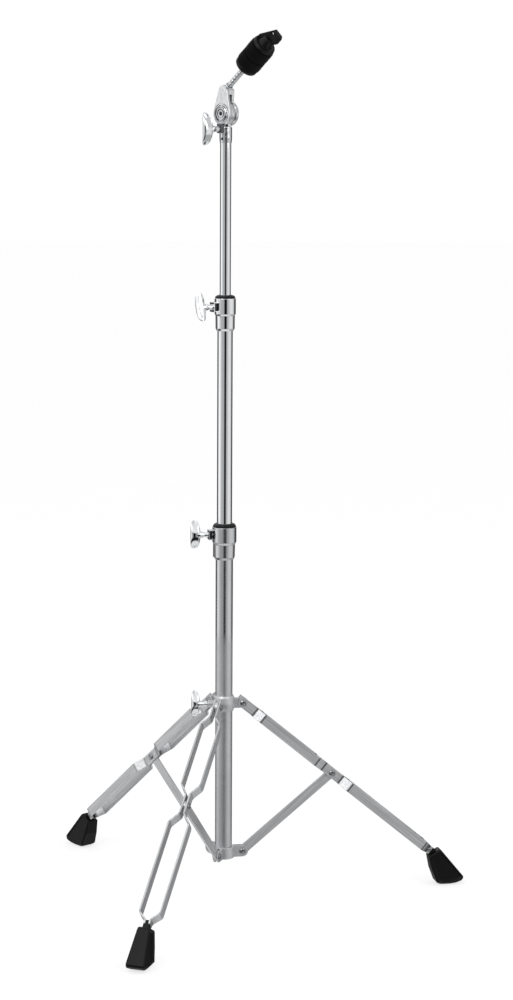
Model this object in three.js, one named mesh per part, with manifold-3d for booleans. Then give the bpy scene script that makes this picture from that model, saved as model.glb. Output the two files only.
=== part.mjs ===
// Straight cymbal stand, in millimetres, +Z up, floor at z = 0.
// A double-strip tripod folds on a sliding collar. Three telescoping tubes rise from it, each locked
// by a bushed clamp with a wing bolt, and a friction tilter carries the cymbal rod with its felts.
import * as THREE from 'three';
import { mergeVertices } from 'three/addons/utils/BufferGeometryUtils.js';
import Module from 'manifold-3d';

const wasm = await Module();
wasm.setup();

// Fits and counts
const gap = 0.3;
const overrun = 30;
const tube_sides = 28;
const collar_sides = 30;
const pin_sides = 12;
const hole_sides = 10;
const bend_steps = 2;
const dome_steps = 2;
const corner_steps = 3;

// Tripod
const leg_azimuths = { right: 11, rear: 131, front: 251 };
const leg_angle = 50.2;
const link_length = 177.5;
const leg_length = 385;
const pivot_radius = 28.5;
const strip_width = 14.5;
const strip_thickness = 2.5;
const upper_spread = 29;
const lower_spread = 30.6;
const top_joggle_start = 23;
const top_joggle_run = 14;
const mid_joggle_start = 17;
const mid_joggle_run = 16;
const end_joggle_start = 28;
const end_joggle_run = 12;
const bend_run = 4;
const strip_top_overlap = 9;
const strip_corner_cut = 4.5;
const strip_end_back = 6;
const strip_end_width = 11.5;
const strip_end_taper = 12;
const brace_width = 14;
const brace_thickness = 3;
const rivet_radius = 3;
const rivet_head_radius = 5;
const rivet_head_height = 2.1;
const leg_end_rivet_radius = 1.9;
const leg_end_rivet_head_radius = 3;
const leg_end_rivet_head_height = 1.2;
const leg_end_rivet_back = 9.5;

// Feet
const foot_mouth_height = 48.7;
const foot_length = 56;
const foot_mouth_width = 17.5;
const foot_sole_width = 28.5;
const foot_sole_bevel = 5;
const insert_tab_thickness = 4;
const insert_tab_length = 13;
const insert_thickness = 9;
const insert_depth_in_foot = 16;
// Side view of the foot from its mouth's middle, in shares of its length and of its mouth height
const foot_outline_shares = [
  [-0.15, 0.93], [0.17, 1.13], [0.22, 1.08], [0.82, 0.24], [0.81, 0.17], [0.76, 0.11], [0.62, 0.03],
  [0.48, 0], [0.23, 0], [0.15, 0.025], [0.08, 0.07], [0.04, 0.2], [-0.06, 0.48],
];

// Base tube and the two collars
const base_tube_diameter = 25.4;
const base_tube_wall = 1.2;
const base_tube_length = 474.4;
const tube_end_below_pivot = 5.5;
const plug_flange = 1.3;
const plug_depth = 14;
const plug_hollow_wall = 2;
const collar_wall = 2.9;
const lower_collar_height = 17.2;
const lower_collar_below_pivot = 8.75;
const lower_ear_radius = 8.7;
const lower_ear_thickness = 2.2;
const collar_screw_radius = 2.5;
const collar_screw_head_radius = 4.2;
const collar_screw_head_height = 2.4;
const collar_screw_azimuth = 70;
const leg_collar_height = 23.5;
const leg_collar_below_pivot = 10.7;
const leg_collar_belly = 16.5;
const leg_collar_lip = 1.3;
const leg_ear_radius = 7.8;
const leg_ear_thickness = 5;
const leg_boss_radius = 5.6;
const leg_boss_reach = 24.6;
const leg_bolt_azimuth = 190;

// Middle and upper tubes; the seen lengths are how far each one is drawn out
const middle_tube_diameter = 22.2;
const middle_tube_wall = 1.2;
const middle_tube_length = 430;
const middle_tube_seen = 280.7;
const upper_tube_diameter = 15.9;
const upper_tube_wall = 1.2;
const upper_tube_length = 342;
const upper_tube_seen = 215.3;

// Clamps: sizes of the base clamp's sleeve, then of the middle clamp's
const base_clamp = {
  tube: base_tube_diameter, inner: middle_tube_diameter, azimuth: 190, wing_turn: 0,
  body_radius: 17.6, waist_radius: 15.6, foot_radius: 15.2,
  body_height: 22, shoulder: 3.7, waist_height: 18.5, chamfer: 3.7,
  tube_to_shoulder: 0.6, rim_height: 4.9, bolt_below_top: 11.1,
};
const middle_clamp = {
  tube: middle_tube_diameter, inner: upper_tube_diameter, azimuth: 210, wing_turn: 196,
  body_radius: 15.3, waist_radius: 13.9, foot_radius: 13.8,
  body_height: 22.1, shoulder: 2.9, waist_height: 18.1, chamfer: 3.5,
  tube_to_shoulder: 1.5, rim_height: 4.4, bolt_below_top: 12.1,
};
const sleeve_wall = 1.3;
const sleeve_lip = 0.8;
const bushing_rim_overlap = 0.7;
const cage_beyond_body = 6.6;
const cage_width = 13;
const cage_height = 14;
const cage_plate = 1.4;
const rib_width = 5;
const rib_root = 1;
const rib_below_body = 1;

// Wing bolts
const wing_depth = 15;
const wing_span = 42;
const wing_cup = 6.4;
const wing_thickness = 2.6;
const wing_hub_radius = 5.6;
const wing_neck = 10.8;
const wing_neck_radius = 4.2;
const bolt_radius = 3;
const leg_wing_depth = 13;
const leg_wing_span = 39.7;
const tilter_wing_depth = 17;
const tilter_wing_span = 46;
// Outline of a pair of wings, in shares of the depth and of half the span
const wing_outline_shares = [
  [0.02, 0.2], [0.1, 0.55], [0.2, 0.88], [0.38, 1], [0.68, 0.99], [0.88, 0.82], [0.97, 0.42],
  [1, 0], [0.96, -0.42], [0.86, -0.78], [0.64, -0.98], [0.34, -1], [0.14, -0.86], [0.06, -0.5], [0.02, -0.2],
];

// Tilter
const tilter_azimuth = 222.5;
const socket_radius = 9;
const socket_mouth_radius = 8.5;
const socket_depth = 12.5;
const socket_cap = 11;
const set_screw_radius = 2;
const set_screw_height = 5.6;
const set_screw_azimuth = 235;
const drum_above_socket = 40.8;
const drum_radius = 17;
const drum_half_width = 10.3;
const drum_far_width = 10.4;
const blade_radius = 16.2;
const blade_half = 2.4;
const friction_disc = 1;
const cheek_plate = 4.6;
const ring_radii_share = [0.78, 0.58];
const neck_half_width = 8;
const tilter_bolt_above_socket = 19.3;
const shoe_thickness = 4;
const shoe_width = 12;
const shoe_lip = 3;
const shoe_boss = 1.8;
const pivot_bolt_radius = 3;
const pivot_head_radius = 4.6;
const pivot_head_height = 1.8;
const arm_reach = 35;
const arm_lean = 4;
const arm_neck_width = 13;
const arm_head_half = 8.6;
const arm_bridge = 9;
const arm_hull_reach = 31.5;
const arm_tip_radius = 8.5;
const hull_steps = 12;
const rod_angle = 52.35;
const rod_boss_radius = 5.8;
const rod_boss_back = 14.7;
const rod_boss_front = 6.8;

// Cymbal rod, seat and felts, measured along the rod from the arm's boss
const rod_diameter = 8.6;
const rod_length = 122.7;
const seat_height = 48;
const seat_washer_radius = 12;
const seat_washer_thickness = 1.6;
const sleeve_flange_radius = 17;
const sleeve_flange_thickness = 6.5;
const sleeve_tube_wall = 1.7;
const felt_radius = 18.2;
const felt_thickness = 19.2;
const felt_edge = 1.6;
const nut_flange_radius = 17;
const nut_flange_top_radius = 15.4;
const nut_flange_thickness = 5.5;
const nut_hub_radius = 10;
const nut_hub_top_radius = 7;
const nut_hub_height = 12;
const nut_tab_half = 15.5;
const nut_tab_height = 28.2;
const nut_tab_thickness = 6;
const nut_tab_hole_radius = 2.3;
const nut_tab_hole_side = -1.2;
const nut_tab_hole_back = 7.3;
// Outline of the paddle, in shares of its half width and of its height
const nut_tab_shares = [
  [-0.97, 0], [-1, 0.12], [-0.355, 0.755], [-0.13, 1], [0.71, 1], [0.87, 0.84], [0.87, 0.51], [0.645, 0.37], [0.645, 0],
];
const nut_turn = 105;

// Finishes
const finishes = {
  chrome: { color: 0xd8dadb, roughness: 0.1, metalness: 1 },
  satin: { color: 0xa6a8aa, roughness: 0.35, metalness: 1 },
  zinc: { color: 0x8c8e90, roughness: 0.45, metalness: 1 },
  dark_steel: { color: 0x2a2b2d, roughness: 0.5, metalness: 0.8 },
  nylon: { color: 0x141416, roughness: 0.5, metalness: 0 },
  rubber: { color: 0x17181a, roughness: 0.75, metalness: 0 },
  felt: { color: 0x121213, roughness: 0.95, metalness: 0 },
};
const materials = Object.fromEntries(
  Object.entries(finishes).map(([name, look]) => [name, new THREE.MeshStandardMaterial({ name, ...look })]));

// Heights that follow from the sizes above
const rad = THREE.MathUtils.degToRad;
const lean = rad(leg_angle);
const upper_pivot_z = foot_mouth_height + leg_length * Math.cos(lean);
const lower_pivot_z = upper_pivot_z - 2 * link_length * Math.cos(lean);
const base_tube_bottom = lower_pivot_z - tube_end_below_pivot;
const base_tube_top = base_tube_bottom + base_tube_length;
const base_rim_top = rimTop(base_clamp, base_tube_top);
const middle_sleeve_bottom = base_rim_top + middle_tube_seen;
const middle_tube_top = middle_sleeve_bottom + tubeInSleeve(middle_clamp);
const middle_rim_top = rimTop(middle_clamp, middle_tube_top);
const socket_z = middle_rim_top + upper_tube_seen;
const upper_tube_top = socket_z + socket_depth;
const drum_z = socket_z + drum_above_socket;

function tubeInSleeve(clamp) {
  return clamp.chamfer + clamp.waist_height + clamp.shoulder - clamp.tube_to_shoulder;
}
function sleeveTop(clamp, tube_top) {
  return tube_top + clamp.tube_to_shoulder + clamp.body_height;
}
function rimTop(clamp, tube_top) {
  return sleeveTop(clamp, tube_top) + gap + clamp.rim_height;
}

// Solids
function solid(geometry) {
  const bare = geometry.index ? geometry.toNonIndexed() : geometry.clone();
  for (const name of Object.keys(bare.attributes)) if (name !== 'position') bare.deleteAttribute(name);
  const merged = mergeVertices(bare);
  return new wasm.Manifold(new wasm.Mesh({
    numProp: 3,
    vertProperties: new Float32Array(merged.attributes.position.array),
    triVerts: new Uint32Array(merged.index.array),
  }));
}
function geometryOf(body) {
  const mesh = body.getMesh();
  const geometry = new THREE.BufferGeometry();
  geometry.setAttribute('position', new THREE.BufferAttribute(mesh.vertProperties.slice(), 3));
  geometry.setIndex(new THREE.BufferAttribute(mesh.triVerts.slice(), 1));
  const shaded = geometry.toNonIndexed();
  shaded.computeVertexNormals();
  return shaded;
}
const join = (first, ...others) => others.reduce((body, other) => body.add(solid(other)), solid(first));
const cut = (body, ...tools) => tools.reduce((rest, tool) => rest.subtract(solid(tool)), body);

// A lathe of [radius, height] points, which close on themselves or on the Z axis
function turned(points, sides = collar_sides) {
  const outline = points.map(([r, z]) => new THREE.Vector2(r, z));
  outline.push(outline[0].clone());
  if (THREE.ShapeUtils.area(outline.slice(0, -1)) < 0) outline.reverse();
  return new THREE.LatheGeometry(outline, sides).rotateX(Math.PI / 2);
}
// A bar of round section along X, Y or Z between two places
function rod(axis, radius, from, to, sides = pin_sides) {
  const geometry = new THREE.CylinderGeometry(radius, radius, to - from, sides).translate(0, (from + to) / 2, 0);
  if (axis === 'x') geometry.rotateZ(-Math.PI / 2);
  if (axis === 'z') geometry.rotateX(Math.PI / 2);
  return geometry;
}
// A plate whose outline lies in XZ, between two places along Y
function plate(shape, from, to, curve_steps = corner_steps) {
  const options = { depth: to - from, bevelEnabled: false, curveSegments: curve_steps };
  return new THREE.ExtrudeGeometry(shape, options).rotateX(Math.PI / 2).translate(0, to, 0);
}
function box(x0, x1, y0, y1, z0, z1) {
  return new THREE.BoxGeometry(x1 - x0, y1 - y0, z1 - z0).translate((x0 + x1) / 2, (y0 + y1) / 2, (z0 + z1) / 2);
}
const polygon = (points) => new THREE.Shape(points.map(([x, y]) => new THREE.Vector2(x, y)));
// A hole along Y, for a pin of the given radius, through what stands at a place in XZ
const pinHole = (radius, x, z) => rod('y', radius + gap, -overrun, overrun, hole_sides).translate(x, 0, z);

// A rivet or pin along Y with a domed head at each end that has a height
function rivet(radius, head_radius, from, to, head_low, head_high) {
  const profile = [[0, from - head_low]];
  const dome = (face, height, sign) => {
    const points = [];
    for (let i = 0; i <= dome_steps; i += 1) {
      const turn = (Math.PI / 2) * (i / dome_steps);
      points.push([head_radius * Math.sin(turn), face + sign * height * Math.cos(turn)]);
    }
    return points;
  };
  if (head_low > 0) profile.push(...dome(from, head_low, -1).slice(1), [radius, from]);
  else profile.push([radius, from]);
  if (head_high > 0) profile.push([radius, to], ...dome(to, head_high, 1).reverse());
  else profile.push([radius, to], [0, to]);
  const outline = profile.map(([r, y]) => new THREE.Vector2(r, y));
  return new THREE.LatheGeometry(outline, pin_sides);
}

// The scene
const stand = new THREE.Group();
function add(parent, name, shape, material) {
  const geometry = shape.isBufferGeometry ? shape : geometryOf(shape);
  const mesh = new THREE.Mesh(geometry, materials[material]);
  mesh.name = name;
  parent.add(mesh);
  return mesh;
}
function frameAt(parent, x, y, z, azimuth = 0) {
  const frame = new THREE.Group();
  frame.position.set(x, y, z);
  frame.rotation.z = rad(azimuth);
  parent.add(frame);
  return frame;
}

// Tubes
function tube(diameter, wall, bottom, top) {
  const outer = diameter / 2;
  return turned([[outer - wall, bottom], [outer, bottom], [outer, top], [outer - wall, top]], tube_sides);
}
add(stand, 'base_tube', tube(base_tube_diameter, base_tube_wall, base_tube_bottom, base_tube_top), 'satin');
add(stand, 'middle_tube', tube(middle_tube_diameter, middle_tube_wall,
  middle_tube_top - middle_tube_length, middle_tube_top), 'chrome');
add(stand, 'upper_tube', tube(upper_tube_diameter, upper_tube_wall,
  upper_tube_top - upper_tube_length, upper_tube_top), 'chrome');

// Plug that closes the base tube's lower end
function basePlug() {
  const bore = base_tube_diameter / 2 - base_tube_wall - gap;
  const face = base_tube_bottom - gap;
  const bottom = face - plug_flange;
  return turned([
    [0, bottom], [base_tube_diameter / 2, bottom], [base_tube_diameter / 2, face], [bore, face],
    [bore, face + plug_depth], [bore - plug_hollow_wall, face + plug_depth],
    [bore - plug_hollow_wall, face + plug_flange], [0, face + plug_flange],
  ], tube_sides);
}
add(stand, 'base_tube_plug', basePlug(), 'nylon');

// Ear in the leg plane: a tab from the collar's wall to the pivot, with a round end
function earShape(root, pivot_z, radius) {
  const shape = new THREE.Shape();
  shape.moveTo(root, pivot_z - radius);
  shape.lineTo(pivot_radius, pivot_z - radius);
  shape.absarc(pivot_radius, pivot_z, radius, -Math.PI / 2, Math.PI / 2, false);
  shape.lineTo(root, pivot_z + radius);
  shape.closePath();
  return shape;
}
const collar_bore = base_tube_diameter / 2 + gap;
const collar_outside = base_tube_diameter / 2 + gap + collar_wall;
const ear_root = base_tube_diameter / 2 + gap + collar_wall / 2;
const brace_ear_inner = brace_thickness / 2 + gap;
const brace_ear_outer = brace_ear_inner + lower_ear_thickness;

// Lower collar, locked to the base tube, with a pair of ears for each brace
function lowerCollar() {
  const bottom = lower_pivot_z - lower_collar_below_pivot;
  const top = bottom + lower_collar_height;
  let collar = solid(turned([
    [collar_bore, bottom], [collar_outside - gap, bottom], [collar_outside, bottom + gap],
    [collar_outside, top - gap], [collar_outside - gap, top], [collar_bore, top],
  ]));
  const ear = earShape(ear_root, lower_pivot_z, lower_ear_radius);
  for (const azimuth of Object.values(leg_azimuths)) {
    for (const [from, to] of [[brace_ear_inner, brace_ear_outer], [-brace_ear_outer, -brace_ear_inner]]) {
      collar = collar.add(solid(plate(ear, from, to).rotateZ(rad(azimuth))));
    }
    collar = cut(collar, pinHole(rivet_radius, pivot_radius, lower_pivot_z).rotateZ(rad(azimuth)));
  }
  const hole = rod('x', collar_screw_radius + gap, base_tube_diameter / 2, collar_outside + overrun);
  return cut(collar, hole.rotateZ(rad(collar_screw_azimuth)).translate(0, 0, lower_pivot_z));
}
add(stand, 'lower_collar', lowerCollar(), 'zinc');
function collarScrew() {
  const tip = base_tube_diameter / 2 + gap;
  const seat = collar_outside + gap;
  const head = rod('x', collar_screw_head_radius, seat, seat + collar_screw_head_height);
  return join(rod('x', collar_screw_radius, tip, seat + gap), head);
}
const screw_frame = frameAt(stand, 0, 0, lower_pivot_z, collar_screw_azimuth);
add(screw_frame, 'lower_collar_screw', collarScrew(), 'zinc');

// Sliding leg collar: a bellied ring with a coned top, three thick ears and a threaded boss
function legCollar() {
  const bottom = upper_pivot_z - leg_collar_below_pivot;
  const top = bottom + leg_collar_height;
  const middle = (bottom + top) / 2;
  const quarter = leg_collar_height / 4;
  let collar = solid(turned([
    [collar_bore, bottom], [collar_bore + leg_collar_lip, bottom],
    [leg_collar_belly - leg_collar_lip / 2, middle - quarter], [leg_collar_belly, middle],
    [leg_collar_belly - leg_collar_lip, top - quarter / 2],
    [collar_bore + leg_collar_lip / 2, top], [collar_bore, top],
  ]));
  const half = leg_ear_thickness / 2;
  for (const azimuth of Object.values(leg_azimuths)) {
    const ear = plate(earShape(ear_root, upper_pivot_z, leg_ear_radius), -half, half);
    collar = collar.add(solid(ear.rotateZ(rad(azimuth))));
    collar = cut(collar, pinHole(rivet_radius, pivot_radius, upper_pivot_z).rotateZ(rad(azimuth)));
  }
  const boss = rod('x', leg_boss_radius, ear_root, leg_boss_reach);
  const thread = rod('x', bolt_radius + gap, base_tube_diameter / 2, leg_boss_reach + overrun);
  for (const piece of [boss, thread]) piece.rotateZ(rad(leg_bolt_azimuth)).translate(0, 0, upper_pivot_z);
  return cut(collar.add(solid(boss)), thread);
}
add(stand, 'leg_collar', legCollar(), 'zinc');

// Leg strips. In the leg's frame X runs down the leg from its upper pivot, Y across it and Z outward
const strip_half = strip_width / 2;
const top_pinch = leg_ear_thickness / 2 + gap + strip_thickness / 2;
const mid_pinch = brace_thickness / 2 + gap + strip_thickness / 2;
const end_pinch = insert_tab_thickness / 2 + gap + strip_thickness / 2;
const strip_end = leg_length - strip_end_back;

function stripPath() {
  const corners = [
    [-strip_top_overlap, top_pinch],
    [top_joggle_start, top_pinch],
    [top_joggle_start + top_joggle_run, upper_spread / 2],
    [link_length - mid_joggle_start - mid_joggle_run, upper_spread / 2],
    [link_length - mid_joggle_start, mid_pinch],
    [link_length + mid_joggle_start, mid_pinch],
    [link_length + mid_joggle_start + mid_joggle_run, lower_spread / 2],
    [leg_length - end_joggle_start, lower_spread / 2],
    [leg_length - end_joggle_start + end_joggle_run, end_pinch],
    [strip_end, end_pinch],
  ].map(([s, t]) => new THREE.Vector2(s, t));
  const path = new THREE.Path();
  path.moveTo(corners[0].x, corners[0].y);
  for (let i = 1; i < corners.length - 1; i += 1) {
    const back = corners[i - 1].clone().sub(corners[i]).setLength(bend_run).add(corners[i]);
    const on = corners[i + 1].clone().sub(corners[i]).setLength(bend_run).add(corners[i]);
    path.lineTo(back.x, back.y);
    path.quadraticCurveTo(corners[i].x, corners[i].y, on.x, on.y);
  }
  const last = corners[corners.length - 1];
  path.lineTo(last.x, last.y);
  return path.getPoints(bend_steps);
}
function ribbon(points, thickness, side) {
  const sides = [[], []];
  points.forEach((point, i) => {
    const before = points[Math.max(i - 1, 0)];
    const after = points[Math.min(i + 1, points.length - 1)];
    const along = after.clone().sub(before).normalize();
    const across = new THREE.Vector2(-along.y, along.x).multiplyScalar(thickness / 2);
    sides[0].push([point.x + across.x, side * (point.y + across.y)]);
    sides[1].push([point.x - across.x, side * (point.y - across.y)]);
  });
  return polygon([...sides[0], ...sides[1].reverse()]);
}
function stripOutline() {
  const half_end = strip_end_width / 2;
  return polygon([
    [-strip_top_overlap, strip_half], [strip_end - strip_end_taper, strip_half],
    [strip_end, half_end], [strip_end, -half_end], [strip_end - strip_end_taper, -strip_half],
    [-strip_top_overlap + strip_corner_cut, -strip_half], [-strip_top_overlap, -strip_half + strip_corner_cut * 2],
  ]);
}
function legStrip(side) {
  const bent = new THREE.ExtrudeGeometry(ribbon(stripPath(), strip_thickness, side),
    { depth: strip_width, bevelEnabled: false }).translate(0, 0, -strip_half);
  const flat = solid(bent).intersect(solid(plate(stripOutline(), -overrun, overrun)));
  return cut(flat, pinHole(rivet_radius, 0, 0), pinHole(rivet_radius, link_length, 0),
    pinHole(leg_end_rivet_radius, leg_length - leg_end_rivet_back, 0));
}

// Brace: a flat bar with round ends, pierced for its pin; its outer end rides between the mid rivets
function brace() {
  const half = brace_width / 2;
  const shape = new THREE.Shape();
  shape.absarc(0, 0, half, Math.PI / 2, 1.5 * Math.PI, false);
  shape.absarc(link_length, 0, half, -Math.PI / 2, Math.PI / 2, false);
  shape.closePath();
  const bar = plate(shape, -brace_thickness / 2, brace_thickness / 2);
  return cut(solid(bar), pinHole(rivet_radius, 0, 0));
}

// Leg-end insert: a tab between the strips and a block that fills the foot's mouth
function footInsert() {
  const tab = insert_tab_thickness / 2;
  const block = insert_thickness / 2;
  const start = strip_end + gap;
  const half = strip_end_width / 2;
  const outline = polygon([
    [start - insert_tab_length, -tab], [start, -tab], [start, -block], [leg_length + insert_depth_in_foot, -block],
    [leg_length + insert_depth_in_foot, block], [start, block], [start, tab], [start - insert_tab_length, tab],
  ]);
  const body = new THREE.ExtrudeGeometry(outline, { depth: strip_end_width, bevelEnabled: false });
  const hole_at = leg_length - leg_end_rivet_back;
  return cut(solid(body.translate(0, 0, -half)), pinHole(leg_end_rivet_radius, hole_at, 0));
}

// Rubber foot in the leg plane, cut to a wedge across, with a pocket for the insert
function foot() {
  const mouth_r = pivot_radius + leg_length * Math.sin(lean);
  const side_view = foot_outline_shares.map(([x, z]) => [mouth_r + x * foot_length, z * foot_mouth_height]);
  const height = foot_mouth_height * Math.max(...foot_outline_shares.map(([, z]) => z));
  const body = solid(plate(polygon(side_view), -foot_sole_width, foot_sole_width));
  const low = foot_sole_width / 2;
  const high = foot_mouth_width / 2;
  const front_view = polygon([
    [-low + foot_sole_bevel, 0], [low - foot_sole_bevel, 0], [low - foot_sole_bevel / 4, foot_sole_bevel / 3],
    [low, foot_sole_bevel], [high, height], [-high, height], [-low, foot_sole_bevel],
    [-low + foot_sole_bevel / 4, foot_sole_bevel / 3],
  ]);
  const wedge = plate(front_view, mouth_r - foot_length, mouth_r + foot_length).rotateZ(-Math.PI / 2);
  const half_n = strip_end_width / 2 + gap;
  const half_t = insert_thickness / 2 + gap;
  const pocket = box(strip_end, leg_length + insert_depth_in_foot + gap, -half_t, half_t, -half_n, half_n);
  pocket.rotateY(Math.PI / 2 - lean).translate(pivot_radius, 0, upper_pivot_z);
  return cut(body.intersect(solid(wedge)), pocket);
}

const strip_outer = (pinch) => pinch + strip_thickness / 2;
for (const [name, azimuth] of Object.entries(leg_azimuths)) {
  const plane = frameAt(stand, 0, 0, 0, azimuth);
  const leg = frameAt(plane, pivot_radius, 0, upper_pivot_z);
  leg.rotation.y = Math.PI / 2 - lean;
  const link = frameAt(plane, pivot_radius, 0, lower_pivot_z);
  link.rotation.y = lean - Math.PI / 2;

  add(leg, `leg_${name}_strip_a`, legStrip(1), 'zinc');
  add(leg, `leg_${name}_strip_b`, legStrip(-1), 'zinc');
  const top_face = strip_outer(top_pinch) + gap;
  add(leg, `leg_${name}_top_rivet`,
    rivet(rivet_radius, rivet_head_radius, -top_face, top_face, rivet_head_height, rivet_head_height), 'zinc');
  const mid_face = strip_outer(mid_pinch) + gap;
  const shank_end = brace_thickness / 2 + gap;
  const mid_a = rivet(rivet_radius, rivet_head_radius, shank_end, mid_face, 0, rivet_head_height);
  const mid_b = rivet(rivet_radius, rivet_head_radius, -mid_face, -shank_end, rivet_head_height, 0);
  add(leg, `leg_${name}_mid_rivet_a`, mid_a.translate(link_length, 0, 0), 'zinc');
  add(leg, `leg_${name}_mid_rivet_b`, mid_b.translate(link_length, 0, 0), 'zinc');
  const end_face = strip_outer(end_pinch) + gap;
  const end_rivet = rivet(leg_end_rivet_radius, leg_end_rivet_head_radius, -end_face, end_face,
    leg_end_rivet_head_height, leg_end_rivet_head_height);
  add(leg, `leg_${name}_end_rivet`, end_rivet.translate(leg_length - leg_end_rivet_back, 0, 0), 'zinc');
  add(leg, `foot_${name}_insert`, footInsert(), 'nylon');
  add(plane, `foot_${name}`, foot(), 'rubber');

  add(link, `brace_${name}`, brace(), 'zinc');
  const pin_face = brace_ear_outer + gap;
  add(link, `brace_${name}_pin`,
    rivet(rivet_radius, rivet_head_radius, -pin_face, pin_face, rivet_head_height, rivet_head_height), 'zinc');
}

// Wing bolt along X: cupped wings above and below a hub, a neck and a screw that ends at its tip.
// Its wings start at the given distance from the axis that the screw points to
function wingBolt(tip, start, depth, span) {
  const spline = wing_outline_shares.map(([x, z]) => new THREE.Vector2(start + x * depth, z * (span / 2)));
  const outline = new THREE.Shape(new THREE.SplineCurve(spline).getPoints(spline.length * 2));
  const half = depth / 2;
  const cup_radius = (half * half + wing_cup * wing_cup) / (2 * wing_cup);
  const centre = start + half;
  const across = cup_radius - wing_cup;
  const ring = turned([
    [cup_radius - wing_thickness, -span], [cup_radius, -span], [cup_radius, span], [cup_radius - wing_thickness, span],
  ]).translate(centre, across, 0);
  const near_half = box(start - overrun, start + overrun, -overrun, 0, -span, span);
  const wings = solid(plate(outline, -overrun, overrun)).intersect(solid(ring)).intersect(solid(near_half));
  const hub_end = start + depth - wing_thickness;
  const hub = rod('x', wing_hub_radius, start - gap, hub_end).translate(0, -wing_cup / 4, 0);
  const neck = rod('x', wing_neck_radius, start - wing_neck, start + wing_neck_radius);
  const screw = rod('x', bolt_radius, tip, start + wing_neck_radius);
  return wings.add(solid(hub)).add(solid(neck)).add(solid(screw));
}
const leg_bolt_frame = frameAt(stand, 0, 0, upper_pivot_z, leg_bolt_azimuth);
add(leg_bolt_frame, 'leg_collar_wing_bolt', wingBolt(base_tube_diameter / 2 + gap,
  leg_boss_reach + gap + wing_neck, leg_wing_depth, leg_wing_span), 'chrome');

// Bushed clamp on a tube's top end: sleeve with a nut cage and a rib below it, bushing, square nut, wing bolt
const cageReach = (clamp) => clamp.body_radius + cage_beyond_body;
function clampSleeve(clamp, tube_top) {
  const bore = clamp.tube / 2 + gap;
  const shoulder_z = tube_top + clamp.tube_to_shoulder;
  const waist_z = shoulder_z - clamp.shoulder;
  const chamfer_z = waist_z - clamp.waist_height;
  const bottom = chamfer_z - clamp.chamfer;
  const top = sleeveTop(clamp, tube_top);
  const chamber = clamp.body_radius - sleeve_wall;
  const profile = [
    [bore, bottom], [bore + sleeve_lip, bottom], [clamp.foot_radius, chamfer_z], [clamp.waist_radius, waist_z],
    [clamp.body_radius, shoulder_z], [clamp.body_radius, top - sleeve_lip], [clamp.body_radius - sleeve_lip, top],
    [chamber, top], [chamber, tube_top + gap], [bore, tube_top + gap],
  ];
  const bolt_z = top - clamp.bolt_below_top;
  const reach = cageReach(clamp);
  const root = chamber + sleeve_wall / 2;
  const rib = box(bore + rib_root, clamp.body_radius - rib_below_body, -rib_width / 2, rib_width / 2,
    chamfer_z - bolt_z, shoulder_z - clamp.shoulder / 2 - bolt_z);
  const cage = box(root, reach, -cage_width / 2, cage_width / 2, -cage_height / 2, cage_height / 2);
  const slot_half = cage_height / 2 - cage_plate;
  const slot_from = clamp.body_radius + gap;
  const slot = box(slot_from, reach - cage_plate, -overrun, overrun, -slot_half, slot_half);
  const hole = rod('x', bolt_radius + gap, 0, reach + overrun);
  for (const piece of [rib, cage, slot, hole]) piece.rotateZ(rad(clamp.azimuth)).translate(0, 0, bolt_z);
  return cut(solid(turned(profile)).add(solid(rib)).add(solid(cage)), slot, hole);
}
function clampBushing(clamp, tube_top) {
  const bore = clamp.inner / 2 + gap;
  const outside = clamp.body_radius - sleeve_wall - gap;
  const seat = sleeveTop(clamp, tube_top) + gap;
  const rim = clamp.body_radius - bushing_rim_overlap;
  const top = seat + clamp.rim_height;
  const bottom = tube_top + 2 * gap;
  const hole_z = sleeveTop(clamp, tube_top) - clamp.bolt_below_top;
  const shell = turned([
    [bore, bottom], [outside, bottom], [outside, seat], [rim, seat], [rim - sleeve_lip, seat + clamp.rim_height / 2],
    [bore + (rim - bore) / 2, top], [bore, top],
  ]);
  const dimple = rod('x', bolt_radius + gap, outside - sleeve_wall, outside + overrun);
  return cut(solid(shell), dimple.rotateZ(rad(clamp.azimuth)).translate(0, 0, hole_z));
}
function clampNut(clamp) {
  const side = cage_height - 2 * cage_plate - 2 * gap;
  const from = clamp.body_radius + 2 * gap;
  const to = cageReach(clamp) - cage_plate - gap;
  const block = box(from, to, -side / 2, side / 2, -side / 2, side / 2);
  return cut(solid(block), rod('x', bolt_radius + gap, 0, to + overrun));
}
function addClamp(prefix, clamp, tube_top) {
  add(stand, `${prefix}_clamp_sleeve`, clampSleeve(clamp, tube_top), 'chrome');
  add(stand, `${prefix}_clamp_bushing`, clampBushing(clamp, tube_top), 'nylon');
  const bolt_z = sleeveTop(clamp, tube_top) - clamp.bolt_below_top;
  const frame = frameAt(stand, 0, 0, bolt_z, clamp.azimuth);
  add(frame, `${prefix}_clamp_nut`, clampNut(clamp), 'dark_steel');
  const tip = clamp.body_radius - sleeve_wall;
  const bolt = add(frame, `${prefix}_clamp_wing_bolt`,
    wingBolt(tip, cageReach(clamp) + gap + wing_neck, wing_depth, wing_span), 'chrome');
  bolt.rotation.x = rad(clamp.wing_turn);
}
addClamp('base', base_clamp, base_tube_top);
addClamp('middle', middle_clamp, middle_tube_top);

// Tilter frame: X along the drum's axis towards its near face, Y across it, origin at the drum's centre
const tilter = frameAt(stand, 0, 0, drum_z, tilter_azimuth);
const fork_inner = blade_half + gap + friction_disc + gap;
const socket_floor = -drum_above_socket;
const bolt_level = socket_floor + tilter_bolt_above_socket;

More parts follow.
